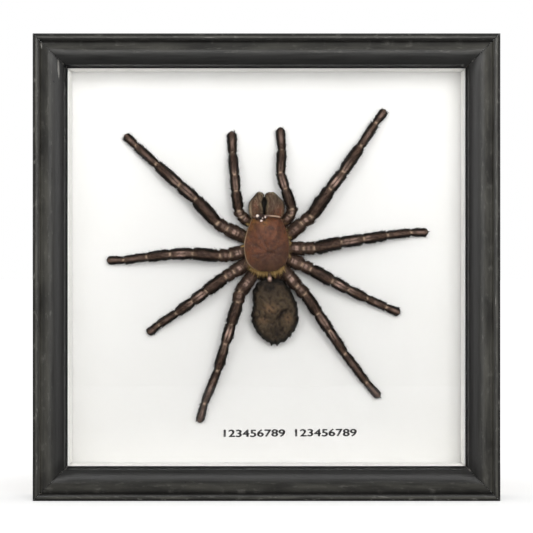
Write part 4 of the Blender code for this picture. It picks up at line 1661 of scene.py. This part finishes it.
def jaw_layers(sign, outwards, forward, angle, tone):
    """Numbers at a place on a jaw, given how far outwards and forward it is, each from -1 to 1."""
    left = sign < 0.0
    facing = 1.0 if math.cos(angle) > 0.0 else 0.0
    pale = ridge(outwards, 0.82, 0.20) * ridge(forward, -0.25, 0.6) * facing * (1.0 if left else 0.15)
    inner = ridge(outwards, -0.62, 0.24) * ridge(forward, 0.35, 0.5) * facing
    red = ridge(outwards, 0.55, 0.55) * (1.0 - smooth_step(forward, -0.3, 0.25))
    if left:
        red = max(0.5 * red, 0.8 * ridge(outwards, 0.1, 0.5) * ridge(forward, -0.05, 0.55))
    # Painted shade: the sides of the lobe that turn away from the glass are darkened.
    dark = smooth_step(degrees_off(angle), 52.0, 80.0) * (1.0 - pale)
    return {
        "rim": pale, "groove": dark, "flank": dark, "rear": 0.85 * (1.0 - red),
        "hair": (1.0 - 0.85 * red) * (1.0 - 0.9 * pale),
        "shade": clamped(tone + 0.9 * inner),
    }


def make_mouth():
    """The hairy mouthparts under the jaws, near black: partly their own dark colour and partly painted shade
    in the slot between the jaws.
    """

    def place(share, angle):
        polar = math.pi * share
        girth = math.sin(polar) ** 0.7
        z = 4.6 * rounded(math.cos(polar), 0.8)
        point = beside(MOUTH_CENTRE, 4.0 * math.sin(angle) * girth, z, 2.6 + 1.5 * math.cos(angle) * girth)
        # Painted shade: flank makes them near black.
        return point, {"flank": 0.95, "hair": 1.0}

    mesh_data = rolled_surface(20, 32, place, LIMB_LAYERS)
    return finish_piece("mouthparts", mesh_data, "limb")


def make_fang(side, sign):
    """A black curved fang that tapers to a point under the jaw."""

    def place(share, angle):
        bend = math.radians(20.0 + 110.0 * share)
        girth = 0.62 * (1.0 - share) ** 0.7 + 0.01
        x = girth * math.sin(angle) - sign * 0.6
        z = 1.3 + 2.6 * math.cos(bend) + girth * math.cos(angle) * math.cos(bend)
        lift = 3.6 - 2.6 * math.sin(bend) + girth * math.cos(angle) * math.sin(bend)
        return beside(JAWS[side], x, z, lift), {}

    return finish_piece(f"fang_{side}", rolled_surface(16, 14, place), "dark_eye")


class TARANTULA_OT_jaws(bpy.types.Operator):
    """Build the two chelicerae with their fangs and hair"""

    bl_idname = "tarantula.jaws"
    bl_label = "Jaws and fangs"

    def execute(self, context):
        for side in JAWS:
            make_jaw(side)
        make_mouth()
        return {"FINISHED"}


# ---------------------------------------------------------------- the abdomen
ABDOMEN_CENTRE = (3.15, 65.2)
ABDOMEN_REACH = (
    (0, 13.6), (14, 13.3), (26, 12.4), (40, 10.7), (59, 9.05), (82, 8.3), (107, 8.6), (134, 8.75),
    (149, 9.15), (164, 9.9), (180, 10.5),
)
# The crease's centre, its turn in degrees, its half length and its half width.
CREASE = ((2.2, 0.9), 52.0, 2.1, 0.55)
SPINNERET_ROOT = -9.4
WAIST_START = Vector((1.0, 82.0, 5.2))
WAIST_END = Vector((1.2, 76.6, 7.4))
COLLAR_CENTRE = (1.4, 79.6)


def abdomen_reach(angle):
    """How far the abdomen's edge is from its centre, in mm, at an angle from straight up the card."""
    lumps = lumpiness(math.sin(angle) * 7.4, math.cos(angle) * 7.4, 4.0)
    waves = lumpiness(math.sin(angle) * 2.6, math.cos(angle) * 2.6, 4.0)
    return smooth_table(ABDOMEN_REACH, degrees_off(angle)) * (1.0 + 0.02 * waves) + 0.75 * lumps


def crease_depth(x, z):
    """How much of the diagonal crease a place has."""
    centre, turn, length, width = CREASE
    heading = math.radians(turn)
    dx, dz = x - centre[0], z - centre[1]
    along = dx * math.cos(heading) + dz * math.sin(heading)
    aside = -dx * math.sin(heading) + dz * math.cos(heading)
    return ridge(along, 0.0, length) * ridge(aside + 0.12 * along * along, 0.0, width)


def abdomen_place(share, angle):
    """A point on the abdomen: a shrunken, wrinkled sack, higher in front."""
    polar = math.pi * share
    out = math.sin(polar) ** 0.9
    reach = abdomen_reach(angle) * out
    x, z = math.sin(angle) * reach, math.cos(angle) * reach
    top = math.cos(polar)
    upper = smooth_step(top, 0.0, 0.25)
    folds = lumpiness(x * 0.36, z * 0.30, 7.0)
    lumps = lumpiness(x * 0.95, z * 0.85, 2.0)
    fine = lumpiness(x * 2.3, z * 2.0, 5.0)
    crease = crease_depth(x, z) * upper
    sag = ridge(x, 0.5, 3.8) * ridge(z, -4.5, 4.0) * upper
    lift = 5.5 + 4.6 * rounded(top, 0.85) + upper * (0.9 * folds + 0.75 * lumps + 0.28 * fine)
    lift -= 1.2 * crease + 0.8 * sag
    patch = 0.95 * ridge(x, -1.9, 2.4) * ridge(z, 2.6, 1.6) + 0.7 * ridge(x, -4.4, 1.5) * ridge(z, -1.8, 1.2)
    patch += 0.7 * ridge(x, 4.6, 1.2) * ridge(z, -1.2, 1.6)
    dark = 0.75 * ridge(x, -1.0, 2.6) * ridge(z, 10.2, 1.8) + 0.55 * ridge(x, 0.8, 2.4) * ridge(z, -6.0, 2.6)
    # Painted shade: the rim, the crease and the hollows between the lumps are darkened, with two dark patches
    # of the hide; the hair on the lumps' tops is lighter, painted light on the relief.
    numbers = {
        "patch": clamped(patch * upper * (1.0 + 1.5 * lumps)),
        "groove": min(1.0, crease + dark * upper + smooth_step(-lumps, 0.10, 0.42) * 0.5 * upper),
        "flank": max(smooth_step(out, 0.77, 0.94), 0.9 * crease, 0.8 * dark * upper),
        "hair": 1.0 - 0.65 * min(1.0, patch),
        "shade": clamped(0.40 + 1.7 * lumps + 0.9 * fine),
    }
    return beside(ABDOMEN_CENTRE, x - 1.3 * smooth_step(z, 2.0, 12.0), z, lift), numbers


def make_spinneret(side, offset):
    """One of the two short jointed fingers behind the abdomen."""

    def place(share, angle):
        girth = 0.45 * (1.0 - 0.35 * share) * math.sqrt(max(0.0, 1.0 - share ** 6)) + 0.001
        girth *= 1.0 - 0.18 * ridge(share, 0.45, 0.07)
        x = offset * (1.0 + 0.4 * share) - 0.4 + girth * math.sin(angle)
        lift = 4.6 - 0.8 * share + girth * math.cos(angle)
        return beside(ABDOMEN_CENTRE, x, SPINNERET_ROOT - 1.6 * share, lift), {
            "flank": 0.7, "pale_and_painted_glint": 0.08, "hair": 1.0,
        }

    mesh_data = rolled_surface(14, 14, place, LIMB_LAYERS)
    return finish_piece(f"spinneret_{side}", mesh_data, "limb")


def make_pedicel():
    """The narrow waist between the two halves of the body."""

    def place(share, angle):
        girth = 1.25 - 0.35 * math.sin(math.pi * share)
        round_it = Vector((math.sin(angle) * girth, 0.0, math.cos(angle) * girth * 0.8))
        # Painted shade darkens the waist's sides, and a painted glint lies across its top near the end.
        layers = {
            "flank": smooth_step(abs(math.sin(angle)), 0.4, 0.8),
            "pale_and_painted_glint": ridge(share, 0.66, 0.10) * ridge(math.sin(angle), 0.0, 0.6),
            "hair": 0.3,
        }
        return on_card(*(WAIST_START.lerp(WAIST_END, share) + round_it)), layers

    mesh_data = rolled_surface(16, 18, place, LIMB_LAYERS)
    return finish_piece("waist", mesh_data, "limb")


def make_collar():
    """The dark hairy lump that closes the gap beside the waist; its near-black left half is painted shade."""

    def place(share, angle):
        girth = math.sin(math.pi * share) ** 0.7
        x = 5.6 * rounded(math.cos(math.pi * share), 0.9)
        z = 2.0 * math.sin(angle) * girth
        lift = 3.4 + 1.9 * math.cos(angle) * girth + 0.25 * lumpiness(x, z, 6.0)
        # Painted shade: the left half is darkened near black, the right half left browner and lighter.
        less_painted_shade = 0.75 * smooth_step(x, 0.0, 3.0)
        layers = {"flank": 0.75 - 0.6 * less_painted_shade, "hair": 1.0, "shade": 0.25 + less_painted_shade}
        return beside(COLLAR_CENTRE, x, z, lift), layers

    mesh_data = rolled_surface(30, 24, place, LIMB_LAYERS)
    collar = finish_piece("waist_collar", mesh_data, "limb")
    flow = outward_flow((1.2, 80.4), 0.6)
    return grow_hair("waist_collar_hair", collar, 1500, (0.5, 1.3), 0.4, flow, "dark_hair", 33)


def backward_flow(points):
    """Hair lying down the card, with a slight spread."""
    spread = (points[:, 0] - ABDOMEN_CENTRE[0] * MM) / (8.0 * MM)
    return np.column_stack([spread * 0.6, np.zeros(len(points)), -np.ones(len(points))])


class TARANTULA_OT_abdomen(bpy.types.Operator):
    """Build the abdomen, the waist and the spinnerets with their hair"""

    bl_idname = "tarantula.abdomen"
    bl_label = "Abdomen"

    def execute(self, context):
        mesh_data = rolled_surface(90, 140, abdomen_place, HIDE_LAYERS)
        hide = finish_piece("abdomen_hide", mesh_data, "abdomen", ("abdomen",))
        count = settings("spider").abdomen_hairs
        grow_hair("abdomen_hair", hide, count, (0.3, 0.7), 0.25, backward_flow, "belly_hair", 31)
        grow_hair(
            "abdomen_bristles", hide, 1100, (0.8, 1.6), 0.45, backward_flow, "belly_hair", 32,
            bend=0.4, tint=(0.0, 0.8),
        )
        make_spinneret("left", -0.75)
        make_spinneret("right", 0.75)
        make_pedicel()
        make_collar()
        return {"FINISHED"}


# ---------------------------------------------------------------- the stage
def add_area_light(name, light_place, power):
    """A soft rectangular light that faces the frame's middle."""
    place, size = light_place
    light = bpy.data.lights.new(name, "AREA")
    light.shape = "RECTANGLE"
    light.size, light.size_y = size
    light.energy = power
    item = bpy.data.objects.new(name, light)
    item.location = place
    bpy.context.scene.collection.objects.link(item)
    middle = Vector((0.0, 0.0, HALF_SIDE))
    item.rotation_euler = (middle - item.location).to_track_quat("-Z", "Y").to_euler()
    return item


FLOOR_HALF = 8.0
FLOOR_FRONT = 0.9
CAMERA_RISE = 0.24 * MM
SENSOR_WIDTH = 36.0
# Each light's place, and its width and height, in metres.
FRONT_LIGHT = ((0.20, -1.09, 0.21), (0.36, 0.36))
TOP_LIGHT = ((0.0, -1.03, 0.43), (0.80, 0.30))
LEFT_LIGHT = ((-0.46, -1.03, 0.19), (0.52, 0.60))
RIGHT_LIGHT = ((0.46, -1.03, 0.19), (0.52, 0.60))
LEFT_SHARE = 1.05


def make_floor(color):
    """A wide pale floor that glows a little, and less where the glass mirrors it."""
    mesh_data = bmesh.new()
    bmesh.ops.create_grid(mesh_data, x_segments=1, y_segments=1, size=FLOOR_HALF)
    bmesh.ops.translate(mesh_data, vec=(0.0, FLOOR_HALF - FLOOR_FRONT, 0.0), verts=mesh_data.verts)
    mesh = bpy.data.meshes.new("floor")
    mesh_data.to_mesh(mesh)
    mesh_data.free()
    floor = bpy.data.objects.new("floor", mesh)
    bpy.context.scene.collection.objects.link(floor)
    material, tree, shader = new_material("floor")
    mirrored = node(tree, "ShaderNodeLightPath").outputs["Is Glossy Ray"]
    away = feed(tree, node(tree, "ShaderNodeVectorMath", operation="LENGTH"), n0=object_coordinates(tree))
    glow = remap(tree, away.outputs["Value"], 0.085, 0.25, 0.50, 0.8, smooth=True)
    direct = math_node(tree, "SUBTRACT", 1.0, times(tree, mirrored, 0.95))
    feed(
        tree, shader, Base_Color=mix_color(tree, mirrored, color, (0.08, 0.08, 0.08)), Roughness=0.9,
        Emission_Color=WHITE, Emission_Strength=times(tree, glow, direct),
    )
    mesh.materials.append(material)
    return floor


def make_world():
    """A pale surround: white where the camera looks, and a soft light that is weak behind the camera."""
    world = bpy.data.worlds.new("studio")
    bpy.context.scene.world = world
    world.use_nodes = True
    tree = world.node_tree
    seen = node(tree, "ShaderNodeLightPath").outputs["Is Camera Ray"]
    direction = separate(tree, node(tree, "ShaderNodeTexCoord").outputs["Generated"])
    near_camera = remap(tree, direction[1], -0.985, -0.955, 0.06, 1.0, smooth=True)
    front = remap(tree, direction[1], -0.92, -0.5, 0.25, 1.0, smooth=True)
    above = remap(tree, direction[2], -0.3, 0.7, 0.24, 0.50)
    ambient = times(tree, times(tree, front, above), near_camera)
    feed(tree, tree.nodes["Background"], Color=WHITE, Strength=mix_value(tree, seen, ambient, 1.0))


class TARANTULA_OT_stage(bpy.types.Operator):
    """Build the floor, the lights, the surround and the camera"""

    bl_idname = "tarantula.stage"
    bl_label = "Stage"

    def execute(self, context):
        values = settings("stage")
        scene = context.scene
        scene.view_settings.view_transform = "Standard"
        make_floor(tuple(values.floor))
        make_world()
        front = add_area_light("front_light", FRONT_LIGHT, values.front_power)
        front.visible_camera = False
        front.visible_glossy = False
        front.visible_transmission = False
        add_area_light("top_light", TOP_LIGHT, values.top_power)
        add_area_light("left_light", LEFT_LIGHT, values.side_power * LEFT_SHARE)
        add_area_light("right_light", RIGHT_LIGHT, values.side_power)
        camera = bpy.data.cameras.new("camera")
        camera.lens = values.lens
        camera.sensor_width = SENSOR_WIDTH
        item = bpy.data.objects.new("camera", camera)
        item.location = (0.0, FRONT_Y - values.distance, HALF_SIDE + CAMERA_RISE)
        item.rotation_euler = (math.pi / 2, 0.0, 0.0)
        scene.collection.objects.link(item)
        scene.camera = item
        return {"FINISHED"}


# ---------------------------------------------------------------- panel and registration
OPERATORS = (
    TARANTULA_OT_rails,
    TARANTULA_OT_glazing,
    TARANTULA_OT_back,
    TARANTULA_OT_caption,
    TARANTULA_OT_front_body,
    TARANTULA_OT_jaws,
    TARANTULA_OT_limbs,
    TARANTULA_OT_abdomen,
    TARANTULA_OT_stage,
)


class TARANTULA_PT_panel(bpy.types.Panel):
    """Lists the pieces of the framed tarantula and their settings"""

    bl_idname = "TARANTULA_PT_panel"
    bl_label = "Framed tarantula"
    bl_space_type = "VIEW_3D"
    bl_region_type = "UI"
    bl_category = "Tarantula"

    def draw(self, context):
        for kind in SETTINGS:
            group = settings(settings_name(kind))
            for name in kind.__annotations__:
                self.layout.prop(group, name)
        for operator in OPERATORS:
            self.layout.operator(operator.bl_idname)


def register():
    """Register the settings, the operators and the panel."""
    for kind in (*SETTINGS, *OPERATORS, TARANTULA_PT_panel):
        bpy.utils.register_class(kind)
    for kind in SETTINGS:
        setattr(bpy.types.Scene, f"tarantula_{settings_name(kind)}", PointerProperty(type=kind))


def unregister():
    """Take the registered classes away again."""
    for kind in SETTINGS:
        delattr(bpy.types.Scene, f"tarantula_{settings_name(kind)}")
    for kind in reversed((*SETTINGS, *OPERATORS, TARANTULA_PT_panel)):
        bpy.utils.unregister_class(kind)


def main():
    """Build every piece in order."""
    register()
    make_groups()
    make_materials()
    for operator in OPERATORS:
        module, _, name = operator.bl_idname.partition(".")
        getattr(getattr(bpy.ops, module), name)()


if __name__ == "__main__":
    main()
